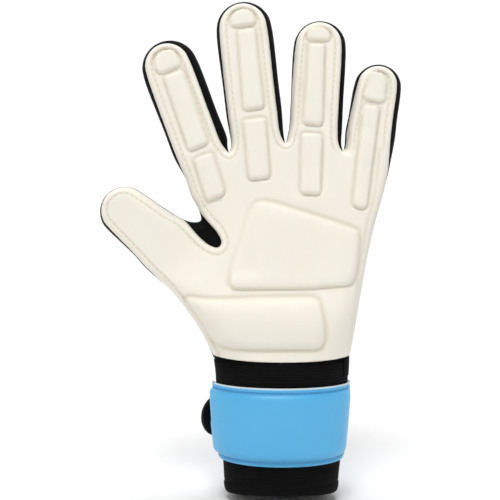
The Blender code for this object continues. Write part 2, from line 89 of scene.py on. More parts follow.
def quarter_round(value: Array | float) -> Array | float:
    """Return the height of a quarter circle, from 0 to 1, as value goes from 0 to 1."""
    return np.sqrt(1.0 - (1.0 - np.clip(value, 0.0, 1.0)) ** 2)


def smooth_line(points: Sequence[Sequence[float]], spacing: float, closed: bool = False) -> Array:
    """Pass a smooth, evenly sampled line through points.

    Args:
        points: The points that the line passes through.
        spacing: The distance between samples.
        closed: Whether the line returns to its first point.

    Returns:
        The samples, one a row.
    """
    p = np.array(points, float)
    if closed:
        p = np.vstack([p[-1], p, p[:2]])
    else:
        p = np.vstack([2 * p[0] - p[1], p, 2 * p[-1] - p[-2]])
    line = []
    for a, b, c, d in zip(p, p[1:], p[2:], p[3:]):
        knots = np.cumsum([0.0] + [max(float(np.linalg.norm(v - u)), 1e-7) ** 0.5
                                   for u, v in ((a, b), (b, c), (c, d))])
        steps = max(2, int(np.ceil(np.linalg.norm(c - b) / spacing)) * 2)
        for t in np.linspace(knots[1], knots[2], steps, endpoint=False):
            ab = (knots[1] - t) / knots[1] * a + t / knots[1] * b
            bc = (knots[2] - t) * b + (t - knots[1]) * c
            bc /= knots[2] - knots[1]
            cd = ((knots[3] - t) * c + (t - knots[2]) * d) / (knots[3] - knots[2])
            abc = ((knots[2] - t) * ab + t * bc) / knots[2]
            bcd = ((knots[3] - t) * bc + (t - knots[1]) * cd) / (knots[3] - knots[1])
            line.append(((knots[2] - t) * abc + (t - knots[1]) * bcd) / (knots[2] - knots[1]))
    line.append(p[1] if closed else p[-2])
    return resample(np.array(line), spacing, closed)


def travelled(line: Array) -> Array:
    """Return the distance along a line at each of its points."""
    return np.concatenate([[0.0], np.cumsum(np.linalg.norm(np.diff(line, axis=0), axis=1))])


def inward_normals(line: Array, closed: bool = False) -> Array:
    """Find the unit normals that point into the area that a clockwise line goes round.

    Args:
        line: The line, without its first point repeated.
        closed: Whether the last point leads back to the first.

    Returns:
        A normal for each point.
    """
    along = np.roll(line, -1, 0) - np.roll(line, 1, 0) if closed else np.gradient(line, axis=0)
    along /= np.linalg.norm(along, axis=1)[:, None]
    return np.column_stack([along[:, 1], -along[:, 0]])


def nearest_tree(points: Array) -> kdtree.KDTree:
    """Put pattern points in a tree that finds the nearest one to a place.

    Args:
        points: The points.

    Returns:
        The tree, ready to be asked.
    """
    tree = kdtree.KDTree(len(points))
    for number, point in enumerate(points):
        tree.insert((*point, 0.0), number)
    tree.balance()
    return tree


def resample(line: Array, spacing: float, closed: bool = False) -> Array:
    """Space the points of a line evenly.

    Args:
        line: The line; a closed one repeats its first point at its end.
        spacing: The distance wanted between points.
        closed: Whether the line is closed.

    Returns:
        The new points; a closed line comes back without its repeated last point.
    """
    lengths = travelled(line)
    count = max(3, int(round(lengths[-1] / spacing)))
    at = np.linspace(0.0, lengths[-1], count + 1)
    if closed:
        at = at[:-1]
    return np.column_stack([np.interp(at, lengths, line[:, k]) for k in range(line.shape[1])])


def distance_to_line(points: Array, line: Array, closed: bool = False) -> Array:
    """Measure how far points lie from a line of straight segments.

    Args:
        points: The points.
        line: The line's corners.
        closed: Whether the last corner is joined to the first.

    Returns:
        A distance for each point.
    """
    ends = np.roll(line, -1, axis=0) if closed else line[1:]
    starts = line if closed else line[:-1]
    step = ends - starts
    square = np.maximum((step ** 2).sum(1), 1e-16)
    found = np.empty(len(points))
    for first in range(0, len(points), 2000):
        chunk = points[first:first + 2000, None, :] - starts[None]
        t = np.clip((chunk * step[None]).sum(2) / square[None], 0.0, 1.0)
        gap = chunk - t[..., None] * step[None]
        found[first:first + 2000] = np.sqrt((gap ** 2).sum(2).min(1))
    return found


def inside_line(points: Array, line: Array) -> Array:
    """Say which points lie inside a closed line.

    Args:
        points: The points.
        line: The line, without its first point repeated.

    Returns:
        True for each point inside.
    """
    inside = np.zeros(len(points), bool)
    for (ax, az), (bx, bz) in zip(line, np.roll(line, -1, axis=0)):
        crosses = (az > points[:, 1]) != (bz > points[:, 1])
        if az != bz:
            x = ax + (points[:, 1] - az) * (bx - ax) / (bz - az)
            inside ^= crosses & (points[:, 0] < x)
    return inside


def round_corners(outline: Sequence[Sequence[float]], radius: float, steps: int = 5) -> Array:
    """Replace each corner of a closed outline with a short curve.

    Args:
        outline: The corners.
        radius: How far before and after a corner its curve starts and ends.
        steps: The number of points on each curve.

    Returns:
        The rounded outline.
    """
    p = np.array(outline, float)
    rounded = []
    for before, corner, after in zip(np.roll(p, 1, axis=0), p, np.roll(p, -1, axis=0)):
        back, on = before - corner, after - corner
        back *= min(radius / np.linalg.norm(back), 0.48)
        on *= min(radius / np.linalg.norm(on), 0.48)
        for t in np.linspace(0.0, 1.0, steps):
            rounded.append(corner + back * (1 - t) ** 2 + on * t ** 2)
    return np.array(rounded)


def wobble(points: Array, size: float, seed: float) -> Array:
    """Return soft noise between about -1 and 1 at each point; size is the width of its bumps."""
    return np.array([noise.noise(Vector((*(p / size), seed)[:3]) + Vector((seed, seed, seed)))
                     for p in points])


# Materials


def linear(code: str) -> tuple[float, float, float, float]:
    """Turn an sRGB hex colour, such as #FFFFFF, into a linear colour with full alpha."""
    parts = [int(code[k:k + 2], 16) / 255 for k in (1, 3, 5)]
    return (*(p / 12.92 if p <= 0.04045 else ((p + 0.055) / 1.055) ** 2.4 for p in parts), 1.0)


def add_node(tree: Tree, kind: str, inputs: dict[str | int, Any] | None = None, **settings: Any) -> Node:
    """Add a node.

    Args:
        tree: The node tree that it goes in.
        kind: The shader node's type name, after "ShaderNode".
        inputs: For each input's name or number, a value, or the output socket that feeds it.
        settings: The node's own properties.

    Returns:
        The new node.
    """
    node = tree.nodes.new("ShaderNode" + kind)
    for name, value in settings.items():
        setattr(node, name, value)
    for name, value in (inputs or {}).items():
        if isinstance(value, Socket):
            tree.links.new(value, node.inputs[name])
        else:
            node.inputs[name].default_value = value
    return node


@dataclass(frozen=True)
class Finish:
    """What every finish holds: a name, the surface's gloss, and the size of its finest grain."""

    name: str = "finish"
    roughness: float = 0.6
    ior: float = 1.5
    grain: float = 0.5 * MM
    grain_height: float = 0.05 * MM
    sheen: float = 0.0
    sheen_roughness: float = 0.5
    coat: float = 0.0
    scatter: float = 0.0
    gloss: float = 0.5
    coat_roughness: float = 0.35
    scatter_depth: float = 1.5 * MM

    def start(self) -> tuple[Material, Tree, Node, Socket]:
        """Make the material with its shader's plain values.

        Returns:
            The material, its node tree, its shader, and the socket that gives a point's place at rest.
        """
        material = bpy.data.materials.new(self.name)
        material.use_nodes = True
        tree = material.node_tree
        shader = tree.nodes["Principled BSDF"]
        values = {"Roughness": self.roughness, "IOR": self.ior, "Sheen Weight": self.sheen,
                  "Sheen Roughness": self.sheen_roughness, "Specular IOR Level": self.gloss,
                  "Coat Weight": self.coat, "Coat Roughness": self.coat_roughness,
                  "Subsurface Weight": self.scatter, "Subsurface Radius": (1.0, 0.8, 0.55),
                  "Subsurface Scale": self.scatter_depth}
        for name, value in values.items():
            shader.inputs[name].default_value = value
        rest = add_node(tree, "Attribute", attribute_name="rest")
        return material, tree, shader, rest.outputs["Vector"]

    def dress(self, tree: Tree, shader: Node, share: Socket,
              colours: tuple[Any, Any], height: Socket, strength: float, invert: bool = False) -> None:
        """Give the shader its colour and its relief.

        Args:
            tree: The material's node tree.
            shader: Its shader.
            share: The share of the second colour.
            colours: Two colours, each a value or a socket.
            height: The height of the relief.
            strength: How strongly the relief shows.
            invert: Whether high places are drawn low.
        """
        mixed = {"Factor": share, "A": colours[0], "B": colours[1]}
        colour = add_node(tree, "Mix", mixed, data_type="RGBA")
        tree.links.new(colour.outputs["Result"], shader.inputs["Base Color"])
        relief = {"Height": height, "Distance": self.grain_height, "Strength": strength}
        bump = add_node(tree, "Bump", relief, invert=invert)
        tree.links.new(bump.outputs["Normal"], shader.inputs["Normal"])

    def moulded(self, tree: Tree, shader: Node, rest: Socket,
                cloud_size: float, colours: tuple[str, str, str], height: Socket,
                strength: float, glossier: float) -> None:
        """Dress a heat-pressed surface: two cloudy colours, a third painted into the channels as shade, and
        uneven gloss.

        Args:
            tree: The material's node tree.
            shader: Its shader.
            rest: The socket of a point's place at rest.
            cloud_size: The width of the clouds.
            colours: The two cloudy colours and the painted shade of the channels.
            height: The height of the relief.
            strength: How strongly the relief shows.
            glossier: How far the roughness falls below its value.
        """
        cloud = add_node(tree, "TexNoise", {"Vector": rest, "Scale": 1 / cloud_size, "Detail": 3.0})
        even = add_node(tree, "Mix", {"Factor": cloud.outputs["Fac"], "A": linear(colours[0]),
                                      "B": linear(colours[1])}, data_type="RGBA")
        # Painted shade: the recess attribute mixes the third colour into the channels and grooves.
        painted_channel_shade = add_node(tree, "Attribute", attribute_name="recess")
        self.dress(tree, shader, painted_channel_shade.outputs["Fac"], (even.outputs["Result"], linear(colours[2])),
                   height, strength)
        limits = {"To Min": self.roughness - glossier, "To Max": self.roughness + 0.08}
        gloss = add_node(tree, "MapRange", {"Value": cloud.outputs["Fac"], **limits})
        tree.links.new(gloss.outputs["Result"], shader.inputs["Roughness"])


@dataclass(frozen=True)
class LatexFoam(Finish):
    """Natural latex foam, moulded and pressed: a soft, powdery cream face with a faint open grain."""

    name: str = "latex_foam_pressed"
    face: str = "#F0ECE2"
    tint: str = "#EAE4D6"
    # Painted shade: the colour mixed into the channels and the rim's groove.
    recess: str = "#DFD6C2"
    roughness: float = 0.68
    ior: float = 1.52
    grain: float = 0.55 * MM
    grain_height: float = 0.07 * MM
    sheen: float = 0.04
    scatter: float = 0.08
    gloss: float = 0.3

    def build(self) -> Material:
        """Make the material: mottled cream, with painted shade, darker and yellower, in the pressed channels
        and the rim's groove.

        Returns:
            The material.
        """
        material, tree, shader, rest = self.start()
        pores = add_node(tree, "TexNoise", {"Vector": rest, "Scale": 1 / self.grain, "Detail": 4.0,
                                            "Roughness": 0.65})
        soft = add_node(tree, "TexNoise", {"Vector": rest, "Scale": 1 / (6 * MM), "Detail": 2.0})
        both = add_node(tree, "Math", {0: soft.outputs["Fac"], 1: pores.outputs["Fac"]}, operation="ADD")
        self.moulded(tree, shader, rest, 26 * MM, (self.face, self.tint, self.recess), both.outputs[0],
                     0.6, 0.05)
        return material


@dataclass(frozen=True)
class CutFoam(Finish):
    """The knife-cut edge of latex foam and its backing: pale, open-celled and slightly furred."""

    name: str = "latex_foam_cut"
    face: str = "#F4EFE2"
    # Painted shade in the cells' pits.
    cell: str = "#C9C0AB"
    roughness: float = 0.9
    grain: float = 0.7 * MM
    grain_height: float = 0.25 * MM
    sheen: float = 0.25

    def build(self) -> Material:
        """Make the material: small open cells, darker in their pits as painted shade, that read as a fuzzy
        line.

        Returns:
            The material.
        """
        material, tree, shader, rest = self.start()
        cells = add_node(tree, "TexVoronoi", {"Vector": rest, "Scale": 1 / self.grain})
        self.dress(tree, shader, cells.outputs["Distance"], (linear(self.cell), linear(self.face)),
                   cells.outputs["Distance"], 0.8)
        return material


@dataclass(frozen=True)
class WarpKnit(Finish):
    """Polyester warp knit over thin foam: a matt black cloth with fine wales and a soft sheen."""

    name: str = "polyester_knit"
    face: str = "#09090A"
    # Painted highlight on the raised loops; the darker face between them is painted shade.
    lift: str = "#171718"
    roughness: float = 0.82
    grain: float = 1.1 * MM
    grain_height: float = 0.12 * MM
    sheen: float = 0.03
    gloss: float = 0.08
    sheen_roughness: float = 0.45

    def build(self) -> Material:
        """Make the material, lighter on the raised loops as a painted highlight. The wales are drawn a little
        coarser than 0.6 mm so that they show.

        Returns:
            The material.
        """
        material, tree, shader, rest = self.start()
        yarn = {"Vector": rest, "Scale": WAVE_PERIOD / self.grain, "Distortion": 1.2, "Detail": 1.0}
        wales, courses = (add_node(tree, "TexWave", yarn, wave_type="BANDS", bands_direction=axis)
                          for axis in "XZ")
        loops = add_node(tree, "Math", {0: wales.outputs["Fac"], 1: courses.outputs["Fac"]},
                         operation="MULTIPLY")
        cloud = add_node(tree, "TexNoise", {"Vector": rest, "Scale": 1 / (14 * MM)})
        mixed = add_node(tree, "Math", {0: loops.outputs[0], 1: cloud.outputs["Fac"]}, operation="MULTIPLY")
        self.dress(tree, shader, mixed.outputs[0], (linear(self.face), linear(self.lift)),
                   loops.outputs[0], 0.7)
        return material


@dataclass(frozen=True)
class RibbedElastic(Finish):
    """Covered elastic webbing, woven with cross ribs: black, with fine level lines."""

    name: str = "elastic_ribbed"
    face: str = "#070707"
    # Painted highlight on the ribs' tops; the darker face between them is painted shade.
    lift: str = "#0E0E0E"
    roughness: float = 0.85
    grain: float = 1.5 * MM
    grain_height: float = 0.14 * MM
    sheen: float = 0.02
    gloss: float = 0.08

    def build(self) -> Material:
        """Make the material: ribs 1.5 mm apart, broken by a thread grain along them, with a painted highlight
        on each rib's top.

        Returns:
            The material.
        """
        material, tree, shader, rest = self.start()
        weave = {"Vector": rest, "Scale": WAVE_PERIOD / self.grain, "Distortion": 0.6, "Detail": 1.0}
        ribs = add_node(tree, "TexWave", weave, wave_type="BANDS", bands_direction="Z")
        threads = add_node(tree, "TexNoise", {"Vector": rest, "Scale": 1 / (0.5 * MM)})
        height = add_node(tree, "Math", {0: threads.outputs["Fac"], 1: 0.35, 2: ribs.outputs["Fac"]},
                          operation="MULTIPLY_ADD")
        self.dress(tree, shader, ribs.outputs["Fac"], (linear(self.face), linear(self.lift)),
                   height.outputs[0], 0.8)
        return material


@dataclass(frozen=True)
class CoatedNeoprene(Finish):
    """Neoprene foam with a polyurethane skin, heat-pressed: sky blue, satin, with a very fine skin grain."""

    name: str = "neoprene_pu_coated"
    face: str = "#53B3E5"
    shade: str = "#4DADE0"
    # Painted shade: the colour mixed into the strap's channels and stitch grooves.
    recess: str = "#4AA6DA"
    roughness: float = 0.42
    ior: float = 1.49
    grain: float = 0.6 * MM
    grain_height: float = 0.035 * MM
    coat: float = 0.2
    scatter: float = 0.05

    def build(self) -> Material:
        """Make the material: an even blue, with painted shade making it deeper in the pressed channels and
        stitch grooves, and slight gloss changes.

        Returns:
            The material.
        """
        material, tree, shader, rest = self.start()
        skin = add_node(tree, "TexVoronoi", {"Vector": rest, "Scale": 1 / self.grain})
        self.moulded(tree, shader, rest, 18 * MM, (self.face, self.shade, self.recess),
                     skin.outputs["Distance"], 0.5, 0.06)
        return material


@dataclass(frozen=True)
class MouldedRubber(Finish):
    """Thermoplastic rubber, injection moulded with a spark-eroded texture: black, dull satin."""

    name: str = "rubber_moulded"
    face: str = "#0D0D0E"
    # Painted highlight on the pebbles' tops; the darker face between them is painted shade.
    lift: str = "#18181A"
    roughness: float = 0.5
    gloss: float = 0.3
    ior: float = 1.52
    grain: float = 0.4 * MM
    grain_height: float = 0.06 * MM

    def build(self) -> Material:
        """Make the material: a pebbled mould texture, with a painted highlight on its tops.

        Returns:
            The material.
        """
        material, tree, shader, rest = self.start()
        pebble = add_node(tree, "TexNoise", {"Vector": rest, "Scale": 1 / self.grain, "Detail": 2.0})
        self.dress(tree, shader, pebble.outputs["Fac"], (linear(self.face), linear(self.lift)),
                   pebble.outputs["Fac"], 0.7)
        return material


@dataclass(frozen=True)
class WovenTape(Finish):
    """Polyester tape or thread, woven or twisted: fine slanting ribs and a dry, matt colour."""

    name: str = "polyester_tape"
    face: str = "#C5D9E2"
    # Painted highlight on the ribs' tops; the darker face between them is painted shade.
    lift: str = "#E2ECF0"
    roughness: float = 0.75
    grain: float = 0.7 * MM
    grain_height: float = 0.1 * MM
    sheen: float = 0.15

    def build(self) -> Material:
        """Make the material: slanting ribs a little coarser than the yarn so that they show, with a painted
        highlight on their tops.

        Returns:
            The material.
        """
        material, tree, shader, rest = self.start()
        weave = {"Vector": rest, "Scale": WAVE_PERIOD / self.grain, "Distortion": 0.4}
        twill = add_node(tree, "TexWave", weave, wave_type="BANDS", bands_direction="DIAGONAL")
        self.dress(tree, shader, twill.outputs["Fac"], (linear(self.face), linear(self.lift)),
                   twill.outputs["Fac"], 0.6)
        return material


@dataclass(frozen=True)
class HookAndLoop(Finish):
    """Nylon hook-and-loop tape: black, with a dense nap of loops or a grid of hooks."""

    name: str = "nylon_hook_and_loop"
    face: str = "#080808"
    # Painted highlight on each tuft's top; the darker face round it is painted shade.
    lift: str = "#222224"
    roughness: float = 0.95
    grain: float = 0.9 * MM
    grain_height: float = 0.4 * MM
    sheen: float = 0.08
    gloss: float = 0.15

    def build(self) -> Material:
        """Make the material: a cell for each tuft, with a painted highlight at its top.

        Returns:
            The material.
        """
        material, tree, shader, rest = self.start()
        tufts = add_node(tree, "TexVoronoi", {"Vector": rest, "Scale": 1 / self.grain})
        self.dress(tree, shader, tufts.outputs["Distance"], (linear(self.lift), linear(self.face)),
                   tufts.outputs["Distance"], 1.0, invert=True)
        return material


class Palette:
    """The glove's finishes, each built once."""

    def __init__(self) -> None:
        """Build every material."""
        self.latex = LatexFoam().build()
        self.cut = CutFoam().build()
        self.knit = WarpKnit().build()
        self.elastic = RibbedElastic().build()
        self.neoprene = CoatedNeoprene().build()
        self.rubber = MouldedRubber().build()
        self.binding = WovenTape().build()
        # The threads' lighter colours are painted highlights on their twists.
        self.cream_thread = WovenTape(name="thread_cream", face="#EDE7D6", lift="#FAF7EC",
                                      grain=0.5 * MM).build()
        self.blue_thread = WovenTape(name="thread_blue", face="#3F8CC2", lift="#63B2E4",
                                     grain=0.5 * MM).build()
        self.tape = HookAndLoop().build()


# Meshes and their place on the frame's bodies


def attach(piece: Piece, bodies: Sequence[Any], nodes: Sequence[str] = ()) -> None:
    """Parent a piece to its body's empty, or fix it where it is when it spans two bodies, and hide the CAD
    nodes that it stands for.

    Args:
        piece: The piece.
        bodies: The body that it rides on, or two bodies and the points where its bend starts and ends; with
            more than one, the piece is not bent and these are not used.
        nodes: The CAD nodes that it stands for.
    """
    if len(bodies) == 1:
        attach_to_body(piece, bodies[0])
    else:
        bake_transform(piece)
    if nodes:
        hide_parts(*nodes)


def turned(points: Array, faces: Sequence[tuple[int, ...]], way: Point) -> list[tuple[int, ...]]:
    """Turn a sheet's faces over if the first of them looks away from a direction.

    Args:
        points: The sheet's points.
        faces: Its faces, which all look the same way.
        way: The direction.

    Returns:
        The faces.
    """
    a, b, c = (points[v] for v in faces[0][:3])
    step = -1 if np.cross(b - a, c - a) @ way < 0 else 1
    return [tuple(face[::step]) for face in faces]


def face_outward(piece: Piece) -> None:
    """Turn the faces of a closed piece outwards.

    Args:
        piece: The piece.
    """
    mesh = bmesh.new()
    mesh.from_mesh(piece.data)
    bmesh.ops.recalc_face_normals(mesh, faces=mesh.faces)
    mesh.to_mesh(piece.data)
    mesh.free()


@dataclass
class Shell:
    """A mesh in numbers, before it is shared out between the bodies of the frame."""

    points: Array
    faces: list[tuple[int, ...]]
    slots: Array
    # How deep in a channel each point is, which sets the shade painted there.
    recess: Array

    @classmethod
    def of(cls, points: Array, faces: list[tuple[int, ...]], slot: int = 0,
           recess: Array | None = None) -> "Shell":
        """Make a shell of one material; recess tells how deep in a pressed channel each point is, and so how
        much shade is painted there.
        """
        marks = np.zeros(len(points)) if recess is None else recess
        return cls(points, faces, np.full(len(faces), slot), marks)

    def join(self, other: "Shell") -> "Shell":
        """Return a shell with the points and faces of this one and of another."""
        moved = [tuple(v + len(self.points) for v in face) for face in other.faces]
        return Shell(np.vstack([self.points, other.points]), self.faces + moved,
                     np.concatenate([self.slots, other.slots]), np.concatenate([self.recess, other.recess]))

    def normals(self) -> Array:
        """Average the normals of the faces round each point.

        Returns:
            A unit normal for each point.
        """
        found = np.zeros_like(self.points)
        for size in {len(face) for face in self.faces}:
            rows = np.array([face for face in self.faces if len(face) == size])
            corners = self.points[rows]
            direction = np.cross(corners[:, 2] - corners[:, 0], corners[:, -1] - corners[:, 1])
            if size == 3:
                direction = np.cross(corners[:, 1] - corners[:, 0], corners[:, 2] - corners[:, 0])
            for corner in range(size):
                np.add.at(found, rows[:, corner], direction)
        return found / np.maximum(np.linalg.norm(found, axis=1), 1e-15)[:, None]

    def centres(self) -> Array:
        """Return the centre of each face."""
        return np.array([self.points[list(face)].mean(0) for face in self.faces])

    def piece(self, name: str, materials: Iterable[Material], keep: Array | None = None,
              normals: Array | None = None) -> Piece:
        """Make an object of some of the faces.

        Args:
            name: The object's name.
            materials: Its materials, in the order of the slots.
            keep: Which faces it takes; all of them if left out.
            normals: The normals of all points, so that pieces of one surface meet without a line.

        Returns:
            The object, in the scene's collection.
        """
        chosen = np.arange(len(self.faces)) if keep is None else np.flatnonzero(keep)
        used = sorted({v for k in chosen for v in self.faces[k]})
        place = {v: k for k, v in enumerate(used)}
        mesh = bpy.data.meshes.new(name)
        mesh.from_pydata(self.points[used].tolist(), [], [[place[v] for v in self.faces[k]] for k in chosen])
        for material in materials:
            mesh.materials.append(material)
        mesh.polygons.foreach_set("material_index", self.slots[chosen].astype(np.int32))
        rest = mesh.attributes.new("rest", "FLOAT_VECTOR", "POINT")
        rest.data.foreach_set("vector", self.points[used].astype(np.float32).ravel())
        # The recess attribute carries the painted shade of the channels to the materials.
        recess = mesh.attributes.new("recess", "FLOAT", "POINT")
        recess.data.foreach_set("value", self.recess[used].astype(np.float32))
        mesh.shade_smooth()
        mesh.update()
        if normals is not None:
            mesh.normals_split_custom_set_from_vertices(normals[used].tolist())
        made = bpy.data.objects.new(name, mesh)
        bpy.context.scene.collection.objects.link(made)
        return made


@dataclass(frozen=True)
class DigitPlan:
    """A finger or the thumb on the flat pattern, read from the frame's joints and solids."""

    name: str
    root: Point
    along: Point
    lateral: Point
    hinge_y: float
    base_length: float
    tip_length: float
    root_half: float
    tip_half: float
    left_reveal: float
    right_reveal: float
    bend: float = 7.0 * MM
    margin: float = 0.8 * MM
    end_share: float = 0.45
    tip_inset: float = 0.9 * MM

    @classmethod
    def from_frame(cls, name: str) -> "DigitPlan":
        """Read a digit's axes, lengths and widths from the frame.

        Args:
            name: The digit.

        Returns:
            Its plan.
        """
        joints = {joint["name"]: joint for joint in frame["joints"]}
        base, tip = (np.array(joints[f"{name}_{part}_bend"]["pos_m"]) for part in ("base", "tip"))
        lateral = np.array(joints[f"{name}_base_bend"]["axis"])[[0, 2]]
        root, end = base[[0, 2]], tip[[0, 2]]
        length = float(np.linalg.norm(end - root))
        along = (end - root) / length

        def spread(node: str, direction: Point, origin: Point) -> tuple[float, float]:
            """Return how far a CAD node reaches backward and forward from a point in a direction."""
            points = [(v.co.x, v.co.z) for v in frame["nodes"][node].data.vertices]
            shares = (np.array(points) - origin) @ direction
            return float(shares.min()), float(shares.max())

        tip_half = spread(f"{name}_tip_gusset", lateral, end)[1]
        left, right = spread(f"{name}_tip_latex", lateral, end)
        root_half = -spread(f"{name}_base_gusset_left", lateral, root)[0]
        return cls(name, root, along, lateral, float(base[1]), length,
                   spread(f"{name}_tip_gusset", along, end)[1], min(root_half, 1.25 * tip_half), tip_half,
                   tip_half + left, tip_half - right)

    @property
    def split(self) -> float:
        """The distance from the root groove at which the base's mesh ends and the tip's begins."""
        return self.base_length / 2

    def local(self, points: Array) -> tuple[Array, Array]:
        """Return how far points lie along the digit from its root groove, and to its right."""
        gap = points - self.root
        return gap @ self.along, gap @ self.lateral

    def spot(self, along: float, right: float) -> Point:
        """Return the pattern point at a distance along the digit and to its right."""
        return self.root + along * self.along + right * self.lateral

    def half_at(self, along: Array | float) -> Array | float:
        """Return the digit's half width at a distance along it."""
        return self.root_half + (self.tip_half - self.root_half) * np.clip(along / self.base_length, 0, 1)

    def holds(self, points: Array) -> Array:
        """Say which pattern points belong to the digit, from just below its root groove."""
        along, right = self.local(points)
        return (along > -self.bend) & (np.abs(right) < self.half_at(along) + self.margin)

    def edge(self, inset: bool) -> list[Point]:
        """Draw the digit's edge from its left root corner round the tip to its right root corner.

        Args:
            inset: Whether the latex's edge is drawn, inside the body's.

        Returns:
            The points that the edge passes through.
        """
        left_in, right_in = (self.left_reveal, self.right_reveal) if inset else (0.0, 0.0)
        end_in = self.end_share * (left_in + right_in) / 2
        total = self.base_length + self.tip_length
        tip_in = self.tip_inset if inset else 0.0
        radius = self.tip_half - (left_in + right_in + tip_in) / 2
        middle = (left_in + tip_in - right_in) / 2
        centre = total - end_in - radius
        half = float(self.half_at(self.split))
        left = [self.spot(0, left_in - self.root_half), self.spot(self.split, left_in - half)]
        right = [self.spot(self.split, half - right_in), self.spot(0, self.root_half - right_in)]
        cap = [self.spot(centre + radius * math.sin(a), middle - radius * math.cos(a))
               for a in np.linspace(0.0, math.pi, 9)]
        return [*left, *cap, *right]


DIGIT_NAMES = ("thumb", "index", "middle", "ring", "pinky")


class Edge(Enum):
    """Which edge of the flat pattern is drawn."""

    LATEX = "latex"
    BODY = "body"


